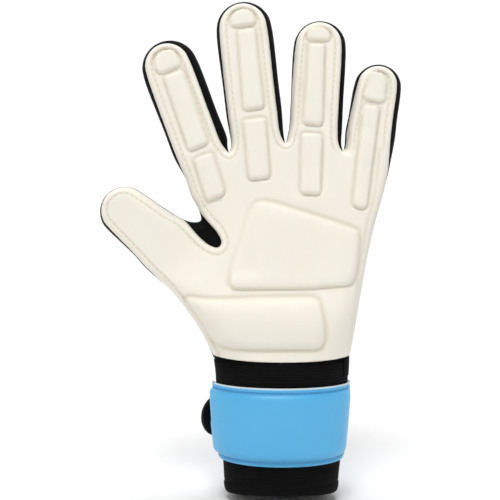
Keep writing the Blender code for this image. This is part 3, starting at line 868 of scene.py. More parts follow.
@dataclass
class HandPattern:
    """The flat pattern of the whole hand: its edges, and how thick the glove is over each point."""

    spacing: float = 1.0 * MM
    thumb_side: tuple = ((-0.0440, 0.0150), (-0.0574, 0.0333))
    latex_web: tuple = ((-0.0444, 0.0646), (-0.0385, 0.0601), (-0.0340, 0.0591), (-0.0322, 0.0618),
                        (-0.0342, 0.0670), (-0.0400, 0.0738))
    body_web: tuple = ((-0.0488, 0.0733), (-0.0440, 0.0740))
    index_side: tuple = ((-0.0450, 0.0800), (-0.0490, 0.0875), (-0.0520, 0.0965))
    pinky_side: tuple = ((0.0574, 0.0963), (0.0501, 0.0689), (0.0439, 0.0394))
    crotches: tuple = ((-0.0283, 0.1110), (0.0025, 0.1162), (0.0338, 0.1115))
    edge_gap: float = 0.4 * MM
    corner_rise: float = 2.3 * MM
    crotch_half: float = 1.0 * MM
    crotch_rise: float = 4.0 * MM
    latex: float = 4.0 * MM
    finger_half_depth: float = 12.0 * MM
    front_round: float = 6.0 * MM
    back_round: float = 10.0 * MM
    roundness: float = 2.3
    thumb_fade: float = 32.0 * MM
    middle: tuple = (-0.017, 0.135)
    draw_in: float = 0.018
    heel: float = 3.7 * MM
    heel_rise: float = 23.0 * MM
    heel_half: float = 14.0 * MM
    heel_start: float = 12.0 * MM
    heel_round: float = 30.0 * MM
    back_cloth: float = 0.6 * MM
    digits: list[DigitPlan] = field(default_factory=lambda: [DigitPlan.from_frame(n) for n in DIGIT_NAMES])

    def __post_init__(self) -> None:
        """Read the wrist's size from the frame and draw both edges."""
        sleeve_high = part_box("cuff_sleeve")[1]
        self.wrist_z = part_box("palm_latex")[0].z
        self.wrist_half = sleeve_high.x
        self.wrist_depth = sleeve_high.y
        self.knuckle_z = self.wrist_z + 0.105
        self.lines = {edge: self.draw(edge) for edge in Edge}

    def spot(self, point: Sequence[float]) -> Point:
        """Lift a pattern point above the cuff."""
        return np.array((point[0], point[1] + self.wrist_z))

    def draw(self, edge: Edge) -> Array:
        """Draw an edge from the wrist's thumb side round the digits to its pinky side.

        Args:
            edge: Which edge.

        Returns:
            The edge, as an open line.
        """
        inset = edge is Edge.LATEX
        web = self.latex_web if inset else self.body_web
        corner_x = self.wrist_half - (self.edge_gap if inset else 0.0)
        corner_z = self.wrist_z + (self.corner_rise if inset else 0.0)
        points = [np.array((-corner_x, corner_z)), *map(self.spot, self.thumb_side)]
        points += self.digits[0].edge(inset) + [self.spot(p) for p in (*web, *self.index_side)]
        for number, digit in enumerate(self.digits[1:]):
            points += digit.edge(inset)
            if number < len(self.crotches):
                low = self.spot(self.crotches[number])
                before = self.crotch_half + (0.65 * digit.right_reveal if inset else 0.0)
                after = self.crotch_half + (0.3 * MM if inset else 0.0)
                points += [low + (-before, self.crotch_rise), low, low + (after, self.crotch_rise)]
        points += [*map(self.spot, self.pinky_side), np.array((corner_x, corner_z))]
        line = smooth_line(points, self.spacing)
        return self.kept_inside(self.drawn_in(line)) if inset else line

    def kept_inside(self, line: Array) -> Array:
        """Move points of the latex's edge that come too near the body's edge back inside it.

        Args:
            line: The latex's edge.

        Returns:
            The edge, at least the gap inside the body's.
        """
        body = self.draw(Edge.BODY)
        near = distance_to_line(line, body)
        outside = ~inside_line(line, body)
        inward = inward_normals(body)
        kept = line.copy()
        for number in np.flatnonzero(outside | (near < self.edge_gap)):
            closest = int(np.argmin(((body - line[number]) ** 2).sum(1)))
            if 0 < closest < len(body) - 1:
                kept[number] = body[closest] + inward[closest] * self.edge_gap
        return resample(kept, self.spacing)

    def bottom(self, edge: Edge) -> Array:
        """Draw the wrist end of an edge.

        Args:
            edge: Which edge.

        Returns:
            The points between the edge's last point and its first.
        """
        line = self.lines[edge]
        last, first = line[-1], line[0]
        share = np.linspace(0.0, 1.0, int(np.linalg.norm(last - first) / self.spacing) + 1)[1:-1, None]
        chord = last + (first - last) * share
        if edge is Edge.LATEX:
            chord[:, 1] -= (4 * share * (1 - share))[:, 0] * (self.corner_rise - 0.2 * MM)
        return chord

    def drawn_in(self, points: Array) -> Array:
        """Move points of the face towards the middle of the palm, because the latex is cut smaller."""
        share = self.draw_in * ease(self.rise(points[:, 1]) / 0.5)[:, None]
        return points + (np.array(self.middle) - points) * share

    def rise(self, z: Array) -> Array:
        """Return 0 at the wrist and 1 from the knuckles up."""
        return np.clip((z - self.wrist_z) / (self.knuckle_z - self.wrist_z), 0.0, 1.0)

    def depths(self, points: Array) -> tuple[Array, Array, Array, Array]:
        """Find the glove's thickness.

        Args:
            points: Points of the flat pattern.

        Returns:
            The half depth, the reach of the front and back rounding, and the heel's swell over each point.
        """
        low = 1.0 - self.rise(points[:, 1])
        thumb = ease((self.digits[0].local(points)[0] + self.thumb_fade) / self.thumb_fade)
        low = low * (1.0 - thumb)
        depth = self.finger_half_depth + (self.wrist_depth - self.finger_half_depth) * low ** 1.3
        above = points[:, 1] - self.wrist_z
        heel = self.heel * np.exp(-((above - self.heel_rise) / self.heel_half) ** 2)
        heel *= ease(above / self.heel_start)
        front = self.front_round + (self.wrist_half * 0.8 - self.front_round) * low ** 2.0
        back = self.back_round + (self.wrist_half - self.back_round) * low ** 1.6
        return depth, front, back, heel

    def profile(self, inward: Array, reach: Array) -> Array:
        """Return the share of full depth at a distance in from the edge: a rounded side."""
        out = 1.0 - np.clip(inward / reach, 0.0, 1.0)
        return (1.0 - out ** self.roundness) ** (1.0 / self.roundness)

    def front(self, points: Array, inward: Array | None = None) -> Array:
        """Find how far the body's palm face lies in front of the middle plane.

        Args:
            points: Points of the flat pattern.
            inward: Their distances from the body's edge, where these are known.

        Returns:
            The distance for each point.
        """
        inward = distance_to_line(points, self.lines[Edge.BODY]) if inward is None else inward
        depth, reach, _, heel = self.depths(points)
        return ((depth - self.latex) * self.profile(inward, reach)
                + heel * self.profile(inward, self.heel_round))

    def back(self, points: Array, inward: Array) -> Array:
        """Return how far the body's back lies behind the middle plane."""
        depth, _, reach, _ = self.depths(points)
        return (depth - self.back_cloth) * self.profile(inward, reach)

    def regions(self, points: Array) -> Array:
        """Number the region of each point.

        Args:
            points: Points of the flat pattern.

        Returns:
            0 for the hand, then two numbers for each digit, root and tip.
        """
        region = np.zeros(len(points), int)
        for number, digit in enumerate(self.digits):
            along = digit.local(points)[0]
            held = digit.holds(points)
            region[held & (along <= digit.split)] = 2 * number + 1
            region[held & (along > digit.split)] = 2 * number + 2
        return region


@dataclass
class PlanMesh:
    """A dense triangle mesh of the area inside a closed line of the flat pattern."""

    points: Array
    triangles: list[tuple[int, int, int]]
    inward: Array
    border: list[int]

    @classmethod
    def fill(cls, line: Array, rings: Sequence[float], spacing: float, open_at: int | None = None,
             creases: Sequence[Array] = ()) -> "PlanMesh":
        """Fill a line with triangles, in even rings near it and a staggered grid further in.

        Args:
            line: The closed line, without its first point repeated.
            rings: The distances of the rings from the line.
            spacing: The distance between points further in.
            open_at: Where given, the line's stretch after this point has no rim.
            creases: Closed lines that get points of their own, so that a fold or an edge follows them.

        Returns:
            The filled mesh; border lists the line's points in order.
        """
        rim = line if open_at is None else line[:open_at + 1]
        closed = open_at is None
        normal = inward_normals(rim, closed)
        inside = [line]
        for distance in rings:
            moved = rim + normal * distance
            far = distance_to_line(moved, rim, closed)
            inside.append(moved[(far > 0.94 * distance) & inside_line(moved, line)])
        low, high = line.min(0), line.max(0)
        rows = np.arange(low[1], high[1], spacing * 0.866)
        columns = np.arange(low[0], high[0], spacing)
        grid = np.array([(x + (k % 2) * spacing / 2, z) for k, z in enumerate(rows) for x in columns])
        grid = grid[inside_line(grid, line)]
        last = (rings[-1] if len(rings) else 0.0) + 0.6 * spacing
        grid = grid[distance_to_line(grid, rim, closed) > last]
        grid = grid[distance_to_line(grid, line, True) > 0.5 * spacing]
        for crease in creases:
            grid = grid[distance_to_line(grid, crease, True) > 0.9 * spacing]
        inside.append(grid)
        for crease in creases:
            centre = crease.mean(0)
            for share in (0.88, 0.94, 1.0, 1.06):
                inside.append(resample(centre + (np.vstack([crease, crease[:1]]) - centre) * share,
                                       1.1 * MM, True))
        every = np.vstack(inside)
        every = np.vstack([every, cls.gap_points(every, line, rim, closed, last)])
        count = len(line)
        edges = [(k, (k + 1) % count) for k in range(count)]
        found = delaunay_2d_cdt([Vector(p) for p in every], edges, [], 1, 1e-7)
        points = np.array([tuple(p) for p in found[0]])
        triangles = [tuple(face) for face in found[2]]
        origins = {old: new for new, group in enumerate(found[3]) for old in group}
        border = [origins[k] for k in range(count)]
        return cls(points, triangles, distance_to_line(points, rim, closed), border)

    def slab(self, low: Array, high: Array, up: Point) -> Shell:
        """Close the mesh into a slab.

        Args:
            low: The places of its points on the lower face.
            high: Their places on the upper face.
            up: The direction from the lower face to the upper.

        Returns:
            The slab, with a wall all round.
        """
        count, ring = len(self.points), self.border
        upper = turned(high, self.triangles, up)
        faces = [tuple(v + count for v in face) for face in upper] + [face[::-1] for face in upper]
        faces += [(u, v, count + v, count + u) for u, v in zip(ring, ring[1:] + ring[:1])]
        return Shell.of(np.vstack([low, high]), faces)

    @staticmethod
    def gap_points(placed: Array, line: Array, rim: Array, closed: bool,
                   reach: float, spacing: float = 0.7 * MM) -> Array:
        """Find points for the fans that the rings leave open round the line's inner corners.

        Args:
            placed: The points that are there already.
            line: The closed line.
            rim: The part of it that has rings.
            closed: Whether that part is the whole line.
            reach: How far from it the rings go.
            spacing: The distance between the new points.

        Returns:
            The new points.
        """
        tree = nearest_tree(placed)
        low, high = line.min(0), line.max(0)
        grid = np.array([(x, z) for z in np.arange(low[1], high[1], spacing)
                         for x in np.arange(low[0], high[0], spacing)])
        grid = grid[inside_line(grid, line)]
        grid = grid[distance_to_line(grid, rim, closed) < reach]
        gaps = [point for point in grid if tree.find((*point, 0.0))[2] > spacing]
        return np.array(gaps).reshape(-1, 2)


@dataclass(frozen=True)
class Attachment:
    """Which CAD nodes a glove-wide surface stands for, on the hand and on each digit's segments."""

    hand: tuple[str, ...]
    base: tuple[str, ...]
    tip: tuple[str, ...]
    slot: str
    fill: float | None = None


class Fitter:
    """Shares a glove-wide surface out between the hand and the digits."""

    def __init__(self, pattern: HandPattern) -> None:
        """Keep the pattern whose regions decide where each face goes."""
        self.pattern = pattern

    def fit(self, name: str, shell: Shell, materials: Sequence[Material], attachment: Attachment) -> None:
        """Cut a surface at the digits and attach each piece.

        Args:
            name: The surface's name, which starts each piece's name.
            shell: The whole surface at rest.
            materials: Its materials.
            attachment: The CAD nodes that the pieces stand for.
        """
        region = self.pattern.regions(shell.centres()[:, [0, 2]])
        normals = shell.normals()
        count = 0
        if (region == 0).any():
            palm = shell.piece(f"{name}_hand", materials, region == 0, normals)
            attach(palm, (HAND,), attachment.hand)
            count += 1
        for number, digit in enumerate(self.pattern.digits):
            stops = ((HAND, f"{digit.name}_base", 0.0, attachment.base),
                     (f"{digit.name}_base", f"{digit.name}_tip", digit.base_length, attachment.tip))
            for part, (before, after, centre, nodes) in enumerate(stops):
                keep = region == 2 * number + 1 + part
                if not keep.any():
                    continue
                label = ("base", "tip")[part]
                piece = shell.piece(f"{name}_{digit.name}_{label}", materials, keep, normals)
                low, high = digit.spot(centre - digit.bend, 0), digit.spot(centre + digit.bend, 0)
                bodies = (before, after, (low[0], digit.hinge_y, low[1]), (high[0], digit.hinge_y, high[1]))
                attach(piece, bodies, [node.format(digit.name) for node in nodes])
                count += 1
        LOG.info("%s: %d pieces, %d faces", name, count, len(shell.faces))


# The palm's latex


@dataclass(frozen=True)
class FingerPad:
    """A raised pad along a digit: where it starts and ends, and its edges to the left and right there."""

    digit: str
    start: float
    end: float
    start_edges: tuple[float, float]
    end_edges: tuple[float, float]
    corner: float = 2.6 * MM
    share: float = 1.0
    bulge: float = 0.0

    def outline(self, pattern: HandPattern) -> Array:
        """Draw the pad on the flat pattern.

        Args:
            pattern: The pattern that holds its digit.

        Returns:
            The pad's closed outline.
        """
        digit = next(d for d in pattern.digits if d.name == self.digit)
        corners = [digit.spot(self.start * MM, self.start_edges[0] * MM),
                   digit.spot(self.end * MM, self.end_edges[0] * MM),
                   digit.spot((self.end + self.bulge) * MM, sum(self.end_edges) / 2 * MM),
                   digit.spot(self.end * MM, self.end_edges[1] * MM),
                   digit.spot(self.start * MM, self.start_edges[1] * MM)]
        return round_corners(corners, self.corner)


FINGER_PADS = (
    FingerPad("index", -29.0, -5.4, (-7.4, 4.0), (-5.8, 5.4)),
    FingerPad("index", -0.8, 41.3, (-6.6, 5.0), (-5.3, 6.3)),
    FingerPad("index", 43.0, 52.5, (-7.6, 6.4), (-6.6, 6.2), 3.6 * MM, 0.6, 2.6),
    FingerPad("middle", -37.0, -4.7, (-7.6, 4.2), (-6.7, 5.6)),
    FingerPad("middle", 0.2, 43.2, (-6.1, 5.6), (-4.0, 5.8)),
    FingerPad("middle", 44.8, 52.0, (-7.4, 7.0), (-6.4, 6.0), 3.2 * MM, 0.6, 2.6),
    FingerPad("ring", -37.0, -4.4, (-7.4, 3.6), (-8.4, 3.2)),
    FingerPad("ring", 0.0, 43.4, (-7.7, 3.0), (-6.8, 2.0)),
    FingerPad("ring", 45.0, 50.5, (-8.6, 4.8), (-8.0, 4.2), 2.4 * MM, 0.6, 2.6),
    FingerPad("pinky", -41.5, 13.8, (-5.4, 2.6), (-7.4, 1.6), 3.6 * MM),
    FingerPad("pinky", 16.0, 30.0, (-8.6, 3.8), (-8.6, 3.0), 3.2 * MM, 0.6, 2.6))


@dataclass
class LatexPalm:
    """The embossed latex face: one sheet over the palm, the fingers and the thumb."""

    pattern: HandPattern
    grid: float = 0.95 * MM
    rings: tuple = (0.35 * MM, 0.9 * MM, 1.6 * MM, 2.4 * MM, 3.0 * MM, 3.5 * MM, 4.0 * MM, 4.6 * MM)
    rim_round: float = 1.9 * MM
    rim_share: float = 0.52
    rim_groove: float = 3.5 * MM
    groove_depth: float = 0.75 * MM
    groove_half: float = 0.5 * MM
    recess: float = 0.7 * MM
    finger_pad_height: float = 1.6 * MM
    finger_pad_slope: float = 2.6 * MM
    palm_pad_height: float = 2.2 * MM
    palm_pad_slope: float = 7.0 * MM
    palm_pad_corner: float = 5.5 * MM
    soft_side: float = 0.6
    channel_depth: float = 0.9 * MM
    channel_half: float = 0.8 * MM
    embed: float = 1.2 * MM
    palm_pads: tuple = (
        ((-12.8, 161.3), (-3.8, 159.9), (14.7, 154.2), (37.3, 146.6), (41.2, 144.6), (39.5, 123.3),
         (37.3, 118.1), (34.7, 116.6), (15.7, 114.8), (-25.1, 114.4), (-27.8, 116.5), (-27.8, 120.7),
         (-16.8, 156.6)),
        ((-53.0, 111.0), (-35.6, 109.2), (-16.9, 110.2), (15.2, 110.8), (19.4, 108.6), (20.6, 102.8),
         (22.4, 88.7), (20.2, 85.0), (15.2, 83.8), (-16.4, 83.8), (-31.0, 85.0), (-39.0, 88.5)))
    channels: tuple = (
        ((52.0, 188.0), (49.6, 167.0), (44.8, 147.0), (41.2, 126.5), (38.4, 105.8), (35.4, 84.0)),
        ((-42.4, 157.6), (-38.0, 160.0), (-32.5, 161.4)))

    def on_finger(self, points: Array) -> Array:
        """Find the fingers' faces.

        Args:
            points: Points of the flat pattern.

        Returns:
            1 on a finger's face and 0 on the palm and the thumb.
        """
        share = np.zeros(len(points))
        for digit in self.pattern.digits[1:]:
            along, right = digit.local(points)
            across = ease((digit.half_at(along) + 1 * MM - np.abs(right)) / (2 * MM))
            share = np.maximum(share, ease((along + 12 * MM) / (16 * MM)) * across)
        return share

    def crispness(self, points: Array) -> Array:
        """Return how crisply the palm pads are pressed: less along the upper pad's thumb side."""
        thumb_side = ease((-8 * MM - points[:, 0]) / (10 * MM))
        return 1.0 - self.soft_side * thumb_side * ease((points[:, 1] - 118 * MM) / (8 * MM))

    def emboss(self, points: Array, inward: Array) -> tuple[Array, Array]:
        """Find the relief of the pads and channels.

        Args:
            points: Points of the flat pattern.
            inward: Their distances from the latex's edge.

        Returns:
            How far each point stands out, and how deep in a channel it is.
        """
        finger = self.on_finger(points)
        height = -self.recess * finger * ease((inward - self.rim_groove) / (1.6 * MM))
        depth = np.zeros(len(points))
        crisp = self.crispness(points)
        pads = [(pad.outline(self.pattern), self.finger_pad_height * pad.share,
                 self.finger_pad_slope, self.channel_half, 1.0) for pad in FINGER_PADS]
        pads += [(round_corners(np.array(pad) * MM, self.palm_pad_corner), self.palm_pad_height,
                  self.palm_pad_slope, 1.5 * self.channel_half, crisp) for pad in self.palm_pads]
        for outline, rise, slope, half, share in pads:
            near = distance_to_line(points, outline, True)
            inside = inside_line(points, outline)
            signed = np.where(inside, near, -near)
            height += rise * share * quarter_round((signed + 0.2 * MM) / slope) * inside
            depth = np.maximum(depth, share * np.exp(-((signed + 0.3 * MM) / half) ** 2))
        for channel in self.channels:
            near = distance_to_line(points, smooth_line(np.array(channel) * MM, 1.5 * MM))
            depth = np.maximum(depth, 0.8 * np.exp(-(near / self.channel_half) ** 2))
        return height - self.channel_depth * depth, depth

    def rim_line(self, points: Array, inward: Array) -> Array:
        """Return each point's depth in the rim's sewn groove, which the palm's pinky side doesn't have."""
        side = ease((points[:, 0] - 22 * MM) / (8 * MM)) * ease((194 * MM - points[:, 1]) / (10 * MM))
        return np.exp(-((inward - self.rim_groove) / self.groove_half) ** 2) * (1.0 - side)

    def build(self, palette: Palette, fitter: Fitter) -> None:
        """Make the sheet, its rolled rim and its cut edge, and share it out.

        Args:
            palette: The finishes.
            fitter: What shares it out between the bodies.
        """
        line = self.pattern.lines[Edge.LATEX]
        outline = np.vstack([line, self.pattern.bottom(Edge.LATEX)])
        plan = PlanMesh.fill(outline, self.rings, self.grid, open_at=len(line) - 1)
        height, channel = self.emboss(plan.points, plan.inward)
        rolled = self.rim_share + (1 - self.rim_share) * quarter_round(plan.inward / self.rim_round)
        rim = self.rim_line(plan.points, plan.inward)
        under = self.pattern.front(plan.points)
        fade = ease((plan.inward - 1.0 * MM) / (3.0 * MM))
        out = under + self.pattern.latex * rolled + height * fade - self.groove_depth * rim
        out += 0.16 * MM * wobble(np.column_stack([plan.points, plan.points[:, 0] * 0]), 17 * MM, 3.7) * fade
        front = np.column_stack([plan.points[:, 0], -out, plan.points[:, 1]])
        # Painted shade: this mark darkens the latex in the pads' channels and in the rim's sewn groove.
        recess = np.clip(0.6 * channel * fade + 1.0 * rim, 0.0, 1.0)
        shell = Shell.of(front, [tuple(t) for t in plan.triangles], 0, recess)
        shell = self.with_wall(shell, plan, under)
        nodes = Attachment(("palm_latex", "palm_lining"), ("{}_base_latex",), ("{}_tip_latex",),
                           "latex_foam", 0.9)
        fitter.fit("latex", shell, (palette.latex, palette.cut), nodes)
        self.stitch(plan, out, palette, fitter)

    def with_wall(self, shell: Shell, plan: PlanMesh, under: Array) -> Shell:
        """Add the cut edge, from the rolled rim back into the glove's body.

        Args:
            shell: The sheet.
            plan: The flat mesh that it was made from.
            under: How far out the body lies under each point.

        Returns:
            The sheet with its edge.
        """
        ring = plan.border
        flat = plan.points[ring]
        outward = -inward_normals(flat, True)
        top = shell.points[ring, 1]
        bottom = -(under[ring] - self.embed)
        fur = 0.12 * MM * wobble(shell.points[ring], 1.4 * MM, 9.1)
        count, first = len(ring), len(shell.points)
        layers, faces = [], []
        for step, bulge in ((0.25, 0.22 * MM), (0.6, 0.25 * MM), (1.0, -0.2 * MM)):
            moved = flat + outward * (bulge + fur)[:, None]
            layers.append(np.column_stack([moved[:, 0], top + (bottom - top) * step, moved[:, 1]]))
        rows = [ring] + [list(range(first + k * count, first + (k + 1) * count)) for k in range(3)]
        for upper, lower in zip(rows, rows[1:]):
            for k in range(count):
                j = (k + 1) % count
                faces.append((upper[k], lower[k], lower[j], upper[j]))
        points = np.vstack([shell.points, *layers])
        sheet = turned(points, shell.faces, PALM_WARD)
        faces = turned(points, faces, np.array((outward[0, 0], 0.0, outward[0, 1])))
        slots = np.concatenate([shell.slots, np.ones(len(faces), int)])
        recess = np.concatenate([shell.recess, np.zeros(3 * count)])
        return Shell(points, sheet + faces, slots, recess)

    def stitch(self, plan: PlanMesh, out: Array, palette: Palette, fitter: Fitter) -> None:
        """Sew a row of cream stitches in the groove inside the rim.

        Args:
            plan: The sheet's flat mesh.
            out: How far out the sheet lies at each of its points.
            palette: The finishes.
            fitter: What shares the stitches out between the bodies.
        """
        line = self.pattern.lines[Edge.LATEX]
        inner = line + inward_normals(line) * self.rim_groove
        inner = inner[distance_to_line(inner, line) > 0.96 * self.rim_groove]
        inner = inner[self.rim_line(inner, np.full(len(inner), self.rim_groove)) > 0.5]
        tree = nearest_tree(plan.points)
        depth = np.array([out[tree.find((*point, 0.0))[1]] for point in inner])
        path = np.column_stack([inner[:, 0], -depth, inner[:, 1]])
        rows = split_runs(path, 3.0 * self.pattern.spacing)
        shell = None
        for row in rows:
            if len(row) < 4:
                continue
            seam = stitches(row, 1.9 * MM, 1.1 * MM, 0.2 * MM, PALM_WARD)
            shell = seam if shell is None else shell.join(seam)
        fitter.fit("rim_stitches", shell, (palette.cream_thread,), Attachment((), (), (), "latex_foam"))


def split_runs(path: Array, gap: float) -> list[Array]:
    """Cut a path wherever two points lie further apart than a gap."""
    jumps = np.flatnonzero(np.linalg.norm(np.diff(path, axis=0), axis=1) > gap) + 1
    return np.split(path, jumps)


def stitches(path: Array, length: float, gap: float, radius: float, up: Array, sides: int = 6) -> Shell:
    """Lay short, arched threads along a path.

    Args:
        path: The seam's line.
        length: The visible length of a stitch.
        gap: The distance from one stitch to the next.
        radius: The thread's radius.
        up: The direction out of the cloth, or one direction for each point of the path.
        sides: The number of sides of the thread.

    Returns:
        The threads, as one shell.
    """
    run_length = travelled(path)
    ups = np.broadcast_to(up, path.shape)
    count = int(run_length[-1] // (length + gap))
    points, faces = [], []
    shares = (0.0, 0.16, 0.5, 0.84, 1.0)
    swell = (0.35, 0.95, 1.0, 0.95, 0.35)
    lift = (-0.6, 0.35, 0.6, 0.35, -0.6)
    for number in range(count):
        start = number * (length + gap) + gap / 2
        at = [start + share * length for share in shares]
        line = np.column_stack([np.interp(at, run_length, path[:, k]) for k in range(3)])
        out = np.array([np.interp(at[2], run_length, ups[:, k]) for k in range(3)])
        out /= np.linalg.norm(out)
        run = line[-1] - line[0]
        run /= max(np.linalg.norm(run), 1e-9)
        side = np.cross(run, out)
        first = len(points)
        for spot, wide, high in zip(line, swell, lift):
            centre = spot + out * radius * high
            for k in range(sides):
                angle = 2 * math.pi * k / sides
                points.append(centre + radius * wide * (math.cos(angle) * side + math.sin(angle) * out))
        for ring in range(len(shares) - 1):
            for k in range(sides):
                a, b = first + ring * sides + k, first + ring * sides + (k + 1) % sides
                faces.append((a, b, b + sides, a + sides))
        faces.append(tuple(range(first, first + sides))[::-1])
        last = first + (len(shares) - 1) * sides
        faces.append(tuple(range(last, last + sides)))
    return Shell.of(np.array(points), faces)


# The black body: gussets and back of the hand


@dataclass
class GloveBody:
    """The knitted body behind the latex: side gussets, crotches, thumb web and padded back."""

    pattern: HandPattern
    grid: float = 1.7 * MM
    side_steps: int = 7
    seam_at: float = 4.2 * MM
    seam_half: float = 0.6 * MM
    seam_height: float = 0.45 * MM
    back_pad_height: float = 1.3 * MM
    back_pad_slope: float = 2.2 * MM
    back_pad_margin: float = 5.0 * MM
    back_pad_gap: float = 2.5 * MM
    back_pad_corner: float = 4.5 * MM
    unevenness: float = 0.35 * MM

    def back_pads(self) -> list[Array]:
        """Draw the padded panels on the back of each finger and of the thumb.

        Returns:
            Their closed outlines.
        """
        outlines = []
        for digit in self.pattern.digits:
            half = digit.tip_half - self.back_pad_margin
            total = digit.base_length + digit.tip_length
            stops = ((3.5 * MM, digit.base_length - self.back_pad_gap),
                     (digit.base_length + self.back_pad_gap, total - 7 * MM))
            for low, high in stops:
                corners = [digit.spot(low, -half), digit.spot(high, -half), digit.spot(high, half),
                           digit.spot(low, half)]
                outlines.append(round_corners(corners, self.back_pad_corner))
        return outlines

    def build(self, palette: Palette, fitter: Fitter) -> None:
        """Make the body as one surface, open at the wrist, and share it out.

        Args:
            palette: The finishes.
            fitter: What shares it out between the bodies.
        """
        line = self.pattern.lines[Edge.BODY]
        reach = self.pattern.back_round
        turns = np.linspace(0.0, math.pi / 2, self.side_steps + 1)[1:]
        rings = [reach * (1 - math.cos(turn)) for turn in turns if reach * (1 - math.cos(turn)) > 0.1 * MM]
        outlines = self.back_pads()
        plan = PlanMesh.fill(np.vstack([line, self.pattern.bottom(Edge.BODY)]), rings, self.grid,
                             open_at=len(line) - 1, creases=outlines)
        front = self.pattern.front(plan.points, plan.inward)
        back = self.pattern.back(plan.points, plan.inward)
        centres = np.array([plan.points[list(t)].mean(0) for t in plan.triangles])
        on_pad = np.zeros(len(centres), bool)
        for outline in outlines:
            near = distance_to_line(plan.points, outline, True)
            inside = inside_line(plan.points, outline)
            back += self.back_pad_height * ease(near / self.back_pad_slope) * inside
            back -= 0.35 * MM * np.exp(-(near / (0.8 * MM)) ** 2)
            on_pad |= inside_line(centres, outline)
        seam = np.exp(-((plan.inward - self.seam_at) / self.seam_half) ** 2)
        back += self.seam_height * seam
        flat = np.column_stack([plan.points[:, 0], np.zeros(len(plan.points)), plan.points[:, 1]])
        soft = self.unevenness * wobble(flat, 15 * MM, 1.3) * ease(plan.inward / (3 * MM))
        rear = flat + np.column_stack([0 * back, back + soft, 0 * back])
        face = flat - np.column_stack([0 * front, front, 0 * front])
        shell = self.close(plan, face, rear)
        shell.slots = np.concatenate([np.zeros(len(centres), int), on_pad.astype(int)])
        nodes = Attachment(
            ("backhand_panel", "thumb_side_gusset", "index_side_gusset", "pinky_side_gusset",
             "index_middle_gusset", "middle_ring_gusset", "ring_pinky_gusset", "thumb_web_gusset"),
            ("{}_base_back", "{}_base_gusset_left", "{}_base_gusset_right"),
            ("{}_tip_back", "{}_tip_gusset"), "backhand_fabric", 0.35)
        fitter.fit("body", shell, (palette.knit, palette.rubber), nodes)

    def close(self, plan: PlanMesh, face: Array, rear: Array) -> Shell:
        """Join the palm face and the back along the outline, leaving the wrist open.

        Args:
            plan: The flat mesh of both.
            face: The palm face's points.
            rear: The back's points.

        Returns:
            The joined shell.
        """
        count = len(plan.points)
        rim_end = len(self.pattern.lines[Edge.BODY])
        shared = set(plan.border[:rim_end])
        index = {v: v if v in shared else count + v for v in range(count)}
        points = np.vstack([face, rear])
        points[sorted(shared)] = (face[sorted(shared)] + rear[sorted(shared)]) / 2
        front = turned(face, plan.triangles, PALM_WARD)
        return Shell.of(points, front + [tuple(index[v] for v in corners[::-1]) for corners in front])


